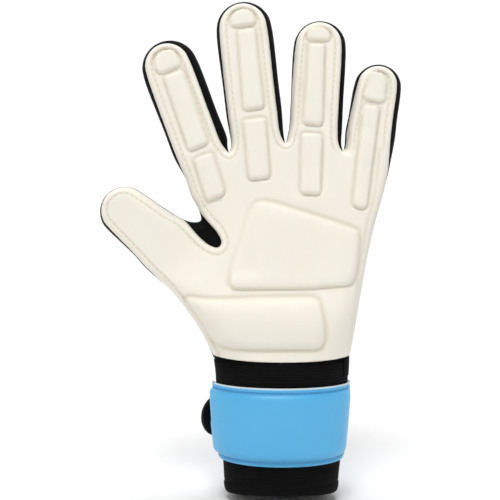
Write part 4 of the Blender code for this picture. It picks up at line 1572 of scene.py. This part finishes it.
@dataclass
class BackhandPad:
    """The foam-filled pad on the back of the hand: swollen by simulation, then quilted."""

    pattern: HandPattern
    outline: tuple = ((-0.0290, 0.0430), (-0.0345, 0.0890), (-0.0200, 0.1045), (0.0080, 0.1085),
                      (0.0370, 0.1028), (0.0428, 0.0875), (0.0332, 0.0412))
    voxel: float = 1.9 * MM
    core: float = 4.2 * MM
    stand: float = 1.4 * MM
    pressure: float = 4.0
    frames: int = 20
    cap: float = 1.5 * MM
    quilt_depth: float = 1.1 * MM
    quilt_half: float = 1.3 * MM
    quilts: tuple = (
        ((-0.0310, 0.0600), (0.0020, 0.0540), (0.0360, 0.0560)),
        ((-0.0330, 0.0770), (0.0030, 0.0720), (0.0400, 0.0740)),
        ((-0.0330, 0.0930), (0.0040, 0.0900), (0.0420, 0.0900)))

    def swell(self, source: Piece) -> None:
        """Blow the pad up with a short cloth simulation and keep the capped result in its mesh.

        Args:
            source: The pad's piece.
        """
        scene = bpy.context.scene
        start = np.array([v.co for v in source.data.vertices])
        cloth = source.modifiers.new("swelling", "CLOTH")
        cloth.settings.use_pressure = True
        cloth.settings.uniform_pressure_force = self.pressure
        cloth.settings.effector_weights.gravity = 0.0
        cloth.settings.mass = 0.2
        cloth.settings.quality = 5
        for number in range(1, self.frames + 1):
            scene.frame_set(number)
        depsgraph = bpy.context.evaluated_depsgraph_get()
        blown = source.evaluated_get(depsgraph).to_mesh()
        end = np.array([v.co for v in blown.vertices])
        source.evaluated_get(depsgraph).to_mesh_clear()
        source.modifiers.remove(cloth)
        scene.frame_set(1)
        move = end - start
        length = np.linalg.norm(move, axis=1)
        move *= np.minimum(1.0, self.cap / np.maximum(length, 1e-9))[:, None]
        source.data.vertices.foreach_set("co", (start + move).ravel())
        LOG.info("backhand pad: %d points swollen by up to %.1f mm", len(start),
                 min(length.max(), self.cap) / MM)

    def build(self, palette: Palette) -> None:
        """Make the core, swell it, smooth it, quilt it and sew round it.

        Args:
            palette: The finishes.
        """
        line = smooth_line([self.pattern.spot(p) for p in self.outline], 1.2 * MM, True)
        plan = PlanMesh.fill(line, (), 2.0 * MM)
        to_edge = distance_to_line(plan.points, self.pattern.lines[Edge.BODY])
        seat = self.pattern.back(plan.points, to_edge)
        side = ease(plan.inward / (4 * MM))
        low = np.column_stack([plan.points[:, 0], seat - self.core / 2, plan.points[:, 1]])
        high = np.column_stack([plan.points[:, 0], seat + self.stand * (0.4 + 0.6 * side), plan.points[:, 1]])
        pad = plan.slab(low, high, BACK_WARD).piece("backhand_pad_foam", (palette.rubber,))
        face_outward(pad)
        self.apply(pad, "REMESH", mode="VOXEL", voxel_size=self.voxel, use_smooth_shade=True)
        self.swell(pad)
        self.apply(pad, "SUBSURF", levels=1)
        self.apply(pad, "SMOOTH", factor=0.5, iterations=4)
        self.quilt(pad)
        rest = pad.data.attributes.new("rest", "FLOAT_VECTOR", "POINT")
        points = np.array([v.co for v in pad.data.vertices])
        rest.data.foreach_set("vector", points.astype(np.float32).ravel())
        pad.data.shade_smooth()
        attach(pad, (HAND,), ("backhand_pad",))
        self.sew(line, palette)

    @staticmethod
    def apply(target: Piece, kind: str, **settings: Any) -> None:
        """Add a modifier and keep its result in the mesh.

        Args:
            target: The object.
            kind: The modifier's type.
            settings: The modifier's own properties.
        """
        modifier = target.modifiers.new(kind.lower(), kind)
        for name, value in settings.items():
            setattr(modifier, name, value)
        depsgraph = bpy.context.evaluated_depsgraph_get()
        result = bpy.data.meshes.new_from_object(target.evaluated_get(depsgraph))
        target.modifiers.remove(modifier)
        target.data = result

    def lines(self) -> list[Array]:
        """Draw the quilting seams on the flat pattern."""
        return [smooth_line([self.pattern.spot(p) for p in quilt], 1.5 * MM) for quilt in self.quilts]

    def quilt(self, pad: Piece) -> None:
        """Press the seams into the pad.

        Args:
            pad: The pad's piece.
        """
        points = np.array([v.co for v in pad.data.vertices])
        flat = points[:, [0, 2]]
        depth = np.zeros(len(points))
        for seam in self.lines():
            depth = np.maximum(depth, np.exp(-(distance_to_line(flat, seam) / self.quilt_half) ** 2))
        to_edge = distance_to_line(flat, self.pattern.lines[Edge.BODY])
        above = points[:, 1] > self.pattern.back(flat, to_edge) - 0.5 * MM
        points[:, 1] -= self.quilt_depth * depth * above
        pad.data.vertices.foreach_set("co", points.ravel())

    def sew(self, line: Array, palette: Palette) -> None:
        """Sew a row of blue stitches round the pad, on the panel beside it.

        Args:
            line: The pad's outline.
            palette: The finishes.
        """
        centre = line.mean(0)
        out = (line - centre) / np.linalg.norm(line - centre, axis=1)[:, None]
        ring = line + out * 1.9 * MM
        ring = np.vstack([ring, ring[:1]])
        to_edge = distance_to_line(ring, self.pattern.lines[Edge.BODY])
        path = np.column_stack([ring[:, 0], self.pattern.back(ring, to_edge) + 0.15 * MM, ring[:, 1]])
        row = stitches(path, 2.2 * MM, 1.1 * MM, 0.24 * MM, BACK_WARD)
        attach(row.piece("backhand_pad_stitches", (palette.blue_thread,)), (HAND,))


# The wrist: sleeve, strap and tab


class Wrist:
    """The oval that the sleeve and the strap are wound on, read from the frame."""

    def __init__(self) -> None:
        """Read the half axes at the top of the sleeve and its taper to the hem."""
        high, hem_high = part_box("cuff_sleeve")[1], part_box("cuff_hem")[1]
        self.top = high.z
        self.half = high.x
        self.depth = high.y
        self.hem_top = hem_high.z
        self.taper = (1.0 - (hem_high.x - 1.0 * MM) / self.half) / (self.top - self.hem_top)

    def scale(self, z: Array | float) -> Array | float:
        """Return how far the wrist has drawn in at a height."""
        return 1.0 - self.taper * (self.top - z)

    def at(self, angle: Array | float, offset: Array | float, z: Array | float) -> Point:
        """Find a place round the wrist.

        Args:
            angle: The angle round the wrist, from the pinky side through the back.
            offset: The distance outside the sleeve.
            z: The height.

        Returns:
            The point, or an array of points.
        """
        scale = self.scale(z)
        x = (self.half * scale + offset) * np.cos(angle)
        y = (self.depth * scale + offset) * np.sin(angle)
        return np.stack(np.broadcast_arrays(x, y, z), axis=-1)


def lathe(rows: Array, closed: bool) -> Shell:
    """Skin a grid of points: rows of equal length, one for each angle, each a closed section.

    Args:
        rows: An array of shape (angles, section points, 3).
        closed: Whether the last row joins the first; open ends are capped.

    Returns:
        The skinned shell.
    """
    turns, count = rows.shape[:2]
    faces = []
    for k in range(turns if closed else turns - 1):
        for j in range(count):
            a, b = k * count + j, k * count + (j + 1) % count
            c, d = ((k + 1) % turns) * count + (j + 1) % count, ((k + 1) % turns) * count + j
            faces.append((a, d, c, b))
    if not closed:
        faces.append(tuple(range(count)))
        faces.append(tuple(range((turns - 1) * count, turns * count))[::-1])
    return Shell.of(rows.reshape(-1, 3), faces)


def wound(rows: Sequence[Array]) -> Shell:
    """Skin a strip round the wrist, whose sections run up its outside and down its inside."""
    strip = lathe(np.array(rows), False)
    return Shell.of(strip.points, [face[::-1] for face in strip.faces])


@dataclass
class Cuff:
    """The ribbed elastic sleeve with its folded hem, and the tongue that ends its seam."""

    wrist: Wrist
    wall: float = 1.8 * MM
    overlap: float = 3.0 * MM
    columns: int = 200
    rib: float = 1.9 * MM
    rib_height: float = 0.09 * MM
    tuck: float = 1.3 * MM
    hem_lift: float = 6.4 * MM
    lift_reach: float = 19.0 * MM

    def section(self) -> Array:
        """Draw the sleeve's section: down its outer face, round the hem and up its inner face.

        Returns:
            Rows of offset and height.
        """
        top = self.wrist.top + self.overlap
        hem = self.wrist.hem_top
        heights = np.arange(top, hem + 0.6 * MM, -0.6 * MM)
        outer = [(self.rib_height * math.sin(2 * math.pi * z / self.rib)
                  - self.tuck * float(ease((z - self.wrist.top + 1.5 * MM) / (2 * MM))), z) for z in heights]
        outer += [(-0.2 * MM, hem + 0.2 * MM), (0.2 * MM, hem - 0.5 * MM), (0.45 * MM, hem - 1.6 * MM),
                  (0.4 * MM, hem / 2), (0.1 * MM, 2.0 * MM), (-0.4 * MM, 0.8 * MM)]
        inner = [(-1.0 * MM, 0.2 * MM), (-1.7 * MM, 0.6 * MM), (-self.wall, 2 * MM), (-self.wall, hem),
                 (-self.wall, top / 2), (-self.wall, top)]
        return np.array(outer + inner)

    def build(self, palette: Palette) -> None:
        """Make the sleeve and the tongue over its seam. The hem is higher at the palm than at the back.

        Args:
            palette: The finishes.
        """
        offset, z = self.section().T
        rows = []
        for angle in np.linspace(0.0, 2 * math.pi, self.columns, endpoint=False):
            sag = 0.35 * MM * np.sin(3 * angle + 40 * z) * ease((z - self.wrist.hem_top) / (12 * MM))
            sag += 0.25 * MM * np.sin(7 * angle + 1.3) * ease((z - 62 * MM) / (6 * MM))
            sag *= ease((self.wrist.top - z) / (5 * MM))
            lift = self.hem_lift * (1.0 - math.sin(angle)) / 2 * np.clip(1.0 - z / self.lift_reach, 0.0, 1.0)
            rows.append(self.wrist.at(angle, offset + sag * (offset > -1 * MM), z + lift))
        sleeve = lathe(np.array(rows), True).piece("cuff_sleeve_knit", (palette.elastic,))
        attach(sleeve, (HAND,), ("cuff_sleeve", "cuff_hem"))
        self.seam_end(palette)
        LOG.info("cuff: %d faces", len(sleeve.data.polygons))

    def seam_end(self, palette: Palette) -> None:
        """Make the little tongue of cloth that covers the end of the pinky-side seam.

        Args:
            palette: The finishes.
        """
        heights = np.linspace(self.wrist.top - 9 * MM, self.wrist.top + 4.6 * MM, 22)
        share = np.clip((heights - heights[0]) / (heights[-1] - heights[0]), 0, 1)
        half = math.radians(9.5) * np.sqrt(np.clip(1.02 - share ** 3, 0.0, 1.0))
        rows = []
        for turn in np.linspace(-1.0, 1.0, 15):
            angles = math.radians(-17) - 0.1 * share + turn * half
            rise = 0.55 * MM * math.sqrt(1.02 - turn ** 2) * np.sqrt(1.02 - share ** 6)
            outer = self.wrist.at(angles, 0.35 * MM + rise, heights)
            inner = self.wrist.at(angles, np.full(len(heights), -0.9 * MM), heights)
            rows.append(np.vstack([outer, inner[::-1]]))
        attach(wound(rows).piece("seam_tongue", (palette.knit,)), (HAND,))


@dataclass
class Strap:
    """The padded wrist strap: a fixed front, and a free end that peels open."""

    wrist: Wrist
    low: float = 22.7 * MM
    high: float = 63.3 * MM
    flange: float = 3.4 * MM
    top_flange: float = 2.5 * MM
    band: float = 1.8 * MM
    pad: float = 2.9 * MM
    pad_round: float = 4.5 * MM
    top_round: float = 7.5 * MM
    top_channel: float = 0.35
    slim: float = 0.75
    slim_half: float = math.radians(26)
    sewn: float = math.radians(-178)
    fold: float = math.radians(20)
    free: float = math.radians(140)
    ramp: float = math.radians(36)
    clearance: float = 0.3 * MM
    lifted: float = 2.9 * MM
    seam: float = 2.1 * MM
    end_flange: float = 3.4 * MM
    unsewn: float = 0.12
    step: float = math.radians(1.6)

    def thickness(self, z: Array, from_end: float) -> tuple[Array, Array]:
        """Return the strap's thickness at heights, and how deep in a pressed channel or a stitch groove each
        height is, which sets the shade painted there.

        Args:
            z: The heights.
            from_end: The distance from the strap's nearest end, along it.

        Returns:
            The thickness and the share of painted shade from the channels and stitch grooves, from 0 to 1.
        """
        below, above = z - self.low, self.high - z
        inside = np.minimum(below, above)
        upper = (above < below).astype(float)
        flange = self.flange + (self.top_flange - self.flange) * upper
        rounding = self.pad_round + (self.top_round - self.pad_round) * upper
        across = np.minimum(inside - flange, from_end - self.end_flange)
        raised = self.pad * quarter_round(across / rounding)
        swell = 0.5 * MM * np.sin(math.pi * np.clip((z - self.low) / (self.high - self.low), 0, 1))
        base = self.band * (0.45 + 0.55 * quarter_round(np.minimum(inside, from_end) / (0.9 * MM)))
        channel = np.exp(-((across + 0.3 * MM) / (0.55 * MM)) ** 2) * (1.0 - (1.0 - self.top_channel) * upper)
        stitch = np.exp(-((np.minimum(inside, from_end) - self.seam) / (0.5 * MM)) ** 2)
        depth = 0.45 * MM * channel + 0.3 * MM * stitch
        return base + raised + swell * (across > 0) - depth, np.clip(channel + 0.7 * stitch, 0, 1)

    def heights(self) -> Array:
        """Choose the heights of the section's points, closer where the strap turns.

        Returns:
            The heights.
        """
        edge = np.array((0.0, 0.25, 0.55, 0.9, 1.3, 1.7, 2.1, 2.5, 3.0, 3.5, 3.9, 4.2, 4.5, 4.8, 5.2, 5.7,
                         6.3, 7.0, 8.0, 9.5)) * MM
        return np.concatenate([self.low + edge, np.linspace(self.low + 11.5 * MM, self.high - 11.5 * MM, 14),
                               (self.high - edge)[::-1]])

    def seat(self, angle: float) -> float:
        """Return how far the strap's inner face stands off the sleeve."""
        return self.clearance + self.lifted * float(ease((angle - self.fold) / self.ramp))

    def length_between(self, first: float, second: float) -> float:
        """Return the length along the outside of the strap between two angles."""
        line = self.wrist.at(np.linspace(first, second, 60), 4 * MM, (self.low + self.high) / 2)
        return float(travelled(line)[-1])

    def stretch(self, name: str, start: float, end: float, ends: tuple[bool, bool],
                palette: Palette) -> Piece:
        """Make a length of strap.

        Args:
            name: The piece's name.
            start: The angle at which it starts.
            end: The angle at which it ends.
            ends: Whether it is finished with a flange at its start and at its end.
            palette: The finishes.

        Returns:
            The piece.
        """
        heights = self.heights()
        count = int(round(abs(end - start) / self.step))
        base = list(np.linspace(start, end, count + 1))
        fine = np.array((0.0, 0.3, 0.7, 1.2, 1.7, 2.2, 2.7, 3.1, 3.5, 4.0, 4.6, 5.3, 6.2)) * MM
        per_angle = self.length_between(start, end) / abs(end - start)
        if ends[0]:
            base = [start + f / per_angle for f in fine] + [a for a in base if a > start + 7 * MM / per_angle]
        if ends[1]:
            base = [a for a in base if a < end - 7 * MM / per_angle]
            base += [end - f / per_angle for f in fine[::-1]]
        rows, marks = [], []
        for angle in base:
            gaps = [(angle - start) * per_angle] * ends[0] + [(end - angle) * per_angle] * ends[1]
            from_end = min(gaps) if gaps else 1.0
            thick, channel = self.thickness(heights, from_end)
            thick = thick - self.slim * (thick - 0.6 * self.band) * math.exp(-(angle / self.slim_half) ** 2)
            seat = self.seat(angle)
            outer = self.wrist.at(angle, seat + thick, heights)
            inner = self.wrist.at(angle, np.full(len(heights), seat), heights)
            rows.append(np.vstack([outer, inner[::-1]]))
            # The channels' share is painted into the neoprene as shade; the inner face gets none.
            marks.append(np.concatenate([channel, np.zeros(len(heights))]))
        shell = wound(rows)
        shell.recess = np.array(marks).ravel()
        return shell.piece(name, (palette.neoprene,))

    def binding(self, name: str, start: float, end: float, palette: Palette) -> Piece:
        """Make the pale tape bound over the strap's top edge.

        Args:
            name: The piece's name.
            start: The angle at which it starts.
            end: The angle at which it ends.
            palette: The finishes.

        Returns:
            The piece.
        """
        turns = np.linspace(0, 2 * math.pi, 11)[:-1]
        count = int(round(abs(end - start) / self.step))
        rows = []
        for angle in np.linspace(start, end, count + 1):
            offset = self.seat(angle) + 0.85 * MM + 0.75 * MM * np.cos(turns)
            rows.append(self.wrist.at(angle, offset, self.high + 0.1 * MM + 0.5 * MM * np.sin(turns)))
        return lathe(np.array(rows), False).piece(name, (palette.binding,))

    def sew(self, name: str, start: float, end: float, palette: Palette) -> Piece:
        """Sew the flanges above and below the padded field.

        Args:
            name: The piece's name.
            start: The angle at which the seams start.
            end: The angle at which they end.
            palette: The finishes.

        Returns:
            The piece.
        """
        shell = None
        for z in (self.low + self.seam, self.high - self.seam):
            angles = np.linspace(start, end, 160)
            seats = np.array([self.seat(a) for a in angles])
            path = self.wrist.at(angles, seats + self.band - 0.25 * MM, np.full(len(angles), z))
            out = np.column_stack([np.cos(angles) * self.wrist.depth, np.sin(angles) * self.wrist.half,
                                   0 * angles])
            out /= np.linalg.norm(out, axis=1)[:, None]
            row = stitches(path, 2.2 * MM, 0.9 * MM, 0.2 * MM, out)
            shell = row if shell is None else shell.join(row)
        return shell.piece(name, (palette.blue_thread,))

    def build(self, palette: Palette) -> None:
        """Make the fixed front, the free end, and what is sewn to them.

        Args:
            palette: The finishes.
        """
        middle = (self.low + self.high) / 2
        begin = tuple(self.wrist.at(self.fold, 4.9 * MM, middle))
        finish = tuple(self.wrist.at(self.fold + math.radians(30), 5.5 * MM, middle))
        lengths = (("front", self.sewn, self.fold, (True, False), (HAND,)),
                   ("end", self.fold, self.free, (False, True), (HAND, "strap_end", begin, finish)))
        for name, start, end, ends, bodies in lengths:
            padded = self.stretch(f"strap_{name}_neoprene", start, end, ends, palette)
            attach(padded, bodies, (f"strap_{name}_band", f"strap_{name}_field"))
            edging = self.binding(f"strap_{name}_edging", start, end, palette)
            attach(edging, bodies, (f"strap_{name}_binding",))
            seams = self.sew(f"strap_{name}_stitches", start + self.unsewn * ends[0],
                             end - self.unsewn * ends[1], palette)
            attach(seams, bodies)
        LOG.info("strap: front and end, each with edging and stitches")


@dataclass
class Fastening:
    """The hook and loop patches between the strap and the sleeve, and the rubber pull tab."""

    wrist: Wrist
    first: float = math.radians(62)
    last: float = math.radians(136)
    low: float = 26.0 * MM
    high: float = 58.0 * MM
    thick: float = 1.0 * MM
    loop_seat: float = 0.3 * MM
    hook_seat: float = 1.6 * MM
    nap: float = 0.12 * MM
    tab_grips: int = 4
    grip_spacing: float = 2.6 * MM
    grip_height: float = 0.45 * MM

    def patch(self, name: str, seat: float, palette: Palette) -> Piece:
        """Make a patch with rounded edges and an uneven nap.

        Args:
            name: The piece's name.
            seat: How far its inner face stands off the sleeve.
            palette: The finishes.

        Returns:
            The piece.
        """
        turns = np.linspace(self.first, self.last, 60)
        edge = np.array((0.0, 0.3, 0.7, 1.2)) * MM
        heights = np.concatenate([self.low + edge, np.linspace(self.low + 2 * MM, self.high - 2 * MM, 24),
                                  (self.high - edge)[::-1]])
        rows = []
        for number, angle in enumerate(turns):
            inside = np.minimum(heights - self.low, self.high - heights)
            rolled = 0.5 + 0.5 * quarter_round(inside / (0.8 * MM))
            rough = self.nap * np.sin(2.1 * number + 3000 * heights) * (inside > 1 * MM)
            outer = self.wrist.at(angle, seat + self.thick * rolled + rough - self.nap, heights)
            inner = self.wrist.at(angle, np.full(len(heights), seat), heights)
            rows.append(np.vstack([outer, inner[::-1]]))
        return wound(rows).piece(name, (palette.tape,))

    def tab(self, palette: Palette) -> Piece:
        """Make the half-round tab: bevelled, with raised grip bars.

        Args:
            palette: The finishes.

        Returns:
            The piece.
        """
        node = frame["nodes"]["pull_tab"]
        points = np.array([node.matrix_world @ v.co for v in node.data.vertices])
        centre = points.mean(0)
        spread = np.linalg.svd(points - centre, full_matrices=False)[2]
        face_out = spread[2] if spread[2][1] > 0 else -spread[2]
        up = np.array((0.0, 0.0, 1.0))
        along = np.cross(up, face_out)
        along *= -1.0 if along[0] > 0 else 1.0
        across = (points - centre) @ along
        height = (points - centre) @ up
        depth = (points - centre) @ face_out
        reach, half, thick = across.max() - across.min(), (height.max() - height.min()) / 2, np.ptp(depth)
        back = across.min()
        straight = reach - half
        turn = np.linspace(-math.pi / 2, math.pi / 2, 22)
        outline = [(0.0, -half), *[(straight + half * math.cos(a), half * math.sin(a)) for a in turn],
                   (0.0, half)]
        outline = resample(np.array([*outline, outline[0]]), 0.8 * MM, True)
        plan = PlanMesh.fill(outline if self.clockwise(outline) else outline[::-1],
                             (0.35 * MM, 0.75 * MM), 0.8 * MM)
        rolled = quarter_round(plan.inward / (0.7 * MM))
        grip = np.zeros(len(plan.points))
        for bar in range(self.tab_grips):
            at = straight - 1.5 * MM + bar * self.grip_spacing
            shape = np.exp(-((plan.points[:, 0] - at) / (0.6 * MM)) ** 2)
            grip = np.maximum(grip, shape * ease((plan.inward - 2.2 * MM) / (1 * MM)))
        rear = -thick / 2 * (0.35 + 0.65 * rolled)
        front = self.grip_height * grip - rear
        base = centre + np.outer(plan.points[:, 0] + back, along) + np.outer(plan.points[:, 1], up)
        base += (height.max() + height.min()) / 2 * up + (depth.max() + depth.min()) / 2 * face_out
        high, low = base + np.outer(front, face_out), base + np.outer(rear, face_out)
        tab = plan.slab(low, high, face_out).piece("pull_tab_rubber", (palette.rubber,))
        face_outward(tab)
        return tab

    @staticmethod
    def clockwise(outline: Array) -> bool:
        """Say whether a closed outline runs clockwise."""
        x, z = outline[:, 0], outline[:, 1]
        return float(np.sum(x * np.roll(z, -1) - np.roll(x, -1) * z)) < 0

    def build(self, palette: Palette) -> None:
        """Make both patches and the tab.

        Args:
            palette: The finishes.
        """
        loop = self.patch("loop_patch_nap", self.loop_seat, palette)
        attach(loop, (HAND,), ("loop_patch",))
        hook = self.patch("hook_patch_hooks", self.hook_seat, palette)
        attach(hook, ("strap_end",), ("hook_patch",))
        attach(self.tab(palette), ("pull_tab",), ("pull_tab",))
        LOG.info("fastening: loop, hook and tab")


# Studio


@dataclass
class Studio:
    """A pale sweep, soft lights and a level camera in front of the palm."""

    distance: float = 0.40
    lens: float = 52.7
    sensor: float = 36.0
    centre_x: float = -0.017
    centre_z: float = 0.135
    bend: float = 0.5
    ambient: float = 0.115

    def sweep(self) -> None:
        """Make the round floor, which curves up into a backdrop on all sides."""
        line = [(0.05, 0.0), (0.6, 0.0), (1.1, 0.0)]
        line += [(1.1 + self.bend * math.sin(a), self.bend * (1 - math.cos(a)))
                 for a in np.linspace(0.1, math.pi / 2, 12)]
        line.append((1.1 + self.bend, 1.5))
        below = 0.2 * MM
        points, faces = [(0.0, 0.0, -below)], []
        turns = 64
        for radius, z in line:
            for k in range(turns):
                angle = 2 * math.pi * k / turns
                points.append((radius * math.cos(angle), radius * math.sin(angle), z - below))
        for k in range(turns):
            faces.append((0, 1 + k, 1 + (k + 1) % turns))
        for ring in range(len(line) - 1):
            for k in range(turns):
                a, b = 1 + ring * turns + k, 1 + ring * turns + (k + 1) % turns
                faces.append((a, a + turns, b + turns, b))
        mesh = bpy.data.meshes.new("sweep")
        mesh.from_pydata(points, [], faces)
        mesh.shade_smooth()
        material = bpy.data.materials.new("paper_sweep")
        material.use_nodes = True
        tree = material.node_tree
        shader = tree.nodes["Principled BSDF"]
        fibre = add_node(tree, "TexNoise", {"Scale": 900.0, "Detail": 2.0})
        tint = add_node(tree, "Mix", {"Factor": fibre.outputs["Fac"], "A": linear("#EEEEEE"),
                                      "B": linear("#F2F2F2")}, data_type="RGBA")
        tree.links.new(tint.outputs["Result"], shader.inputs["Base Color"])
        shader.inputs["Roughness"].default_value = 0.95
        mesh.materials.append(material)
        floor = bpy.data.objects.new("sweep", mesh)
        bpy.context.scene.collection.objects.link(floor)

    def lamp(self, name: str, place: Sequence[float], aim: Sequence[float], size: float,
             power: float) -> None:
        """Hang a square soft light.

        Args:
            name: The light's name.
            place: Where it hangs.
            aim: The place that it points at.
            size: The length of its side.
            power: Its power in watts.
        """
        data = bpy.data.lights.new(name, "AREA")
        data.shape = "SQUARE"
        data.size = size
        data.energy = power
        made = bpy.data.objects.new(name, data)
        made.location = place
        made.rotation_euler = (Vector(aim) - Vector(place)).to_track_quat("-Z", "Y").to_euler()
        bpy.context.scene.collection.objects.link(made)

    def build(self) -> None:
        """Make the sweep, the lights and the camera."""
        self.sweep()
        target = (self.centre_x, 0.0, self.centre_z)
        self.lamp("key_softbox", (-0.12, -0.62, 1.1), target, 0.45, 8.3)
        self.lamp("fill_softbox", (0.8, -0.9, 0.3), target, 0.9, 0.3)
        self.lamp("backdrop_wash", (0.0, 0.3, 1.9), (0.0, 1.6, 0.5), 1.2, 24.0)
        self.lamp("rear_wash", (0.0, 0.9, 1.3), (0.0, 0.1, 0.12), 0.8, 2.2)
        world = bpy.data.worlds.new("studio_air")
        world.use_nodes = True
        back = world.node_tree.nodes["Background"]
        back.inputs["Color"].default_value = linear("#FFFFFF")
        back.inputs["Strength"].default_value = self.ambient
        bpy.context.scene.world = world
        camera = bpy.data.cameras.new("camera")
        camera.sensor_width = self.sensor
        camera.lens = self.lens
        made = bpy.data.objects.new("camera", camera)
        made.location = (self.centre_x, -self.distance, self.centre_z)
        made.rotation_euler = (math.pi / 2, 0.0, 0.0)
        bpy.context.scene.collection.objects.link(made)
        bpy.context.scene.camera = made
        bpy.context.scene.view_settings.view_transform = "Standard"
        LOG.info("studio: ready")


def main() -> None:
    """Build each sub-assembly in order."""
    logging.basicConfig(level=logging.INFO, format="%(message)s")
    palette = Palette()
    pattern = HandPattern()
    fitter = Fitter(pattern)
    Studio().build()
    LatexPalm(pattern).build(palette, fitter)
    GloveBody(pattern).build(palette, fitter)
    BackhandPad(pattern).build(palette)
    wrist = Wrist()
    Cuff(wrist).build(palette)
    Strap(wrist).build(palette)
    Fastening(wrist).build(palette)


if __name__ == "__main__":
    main()
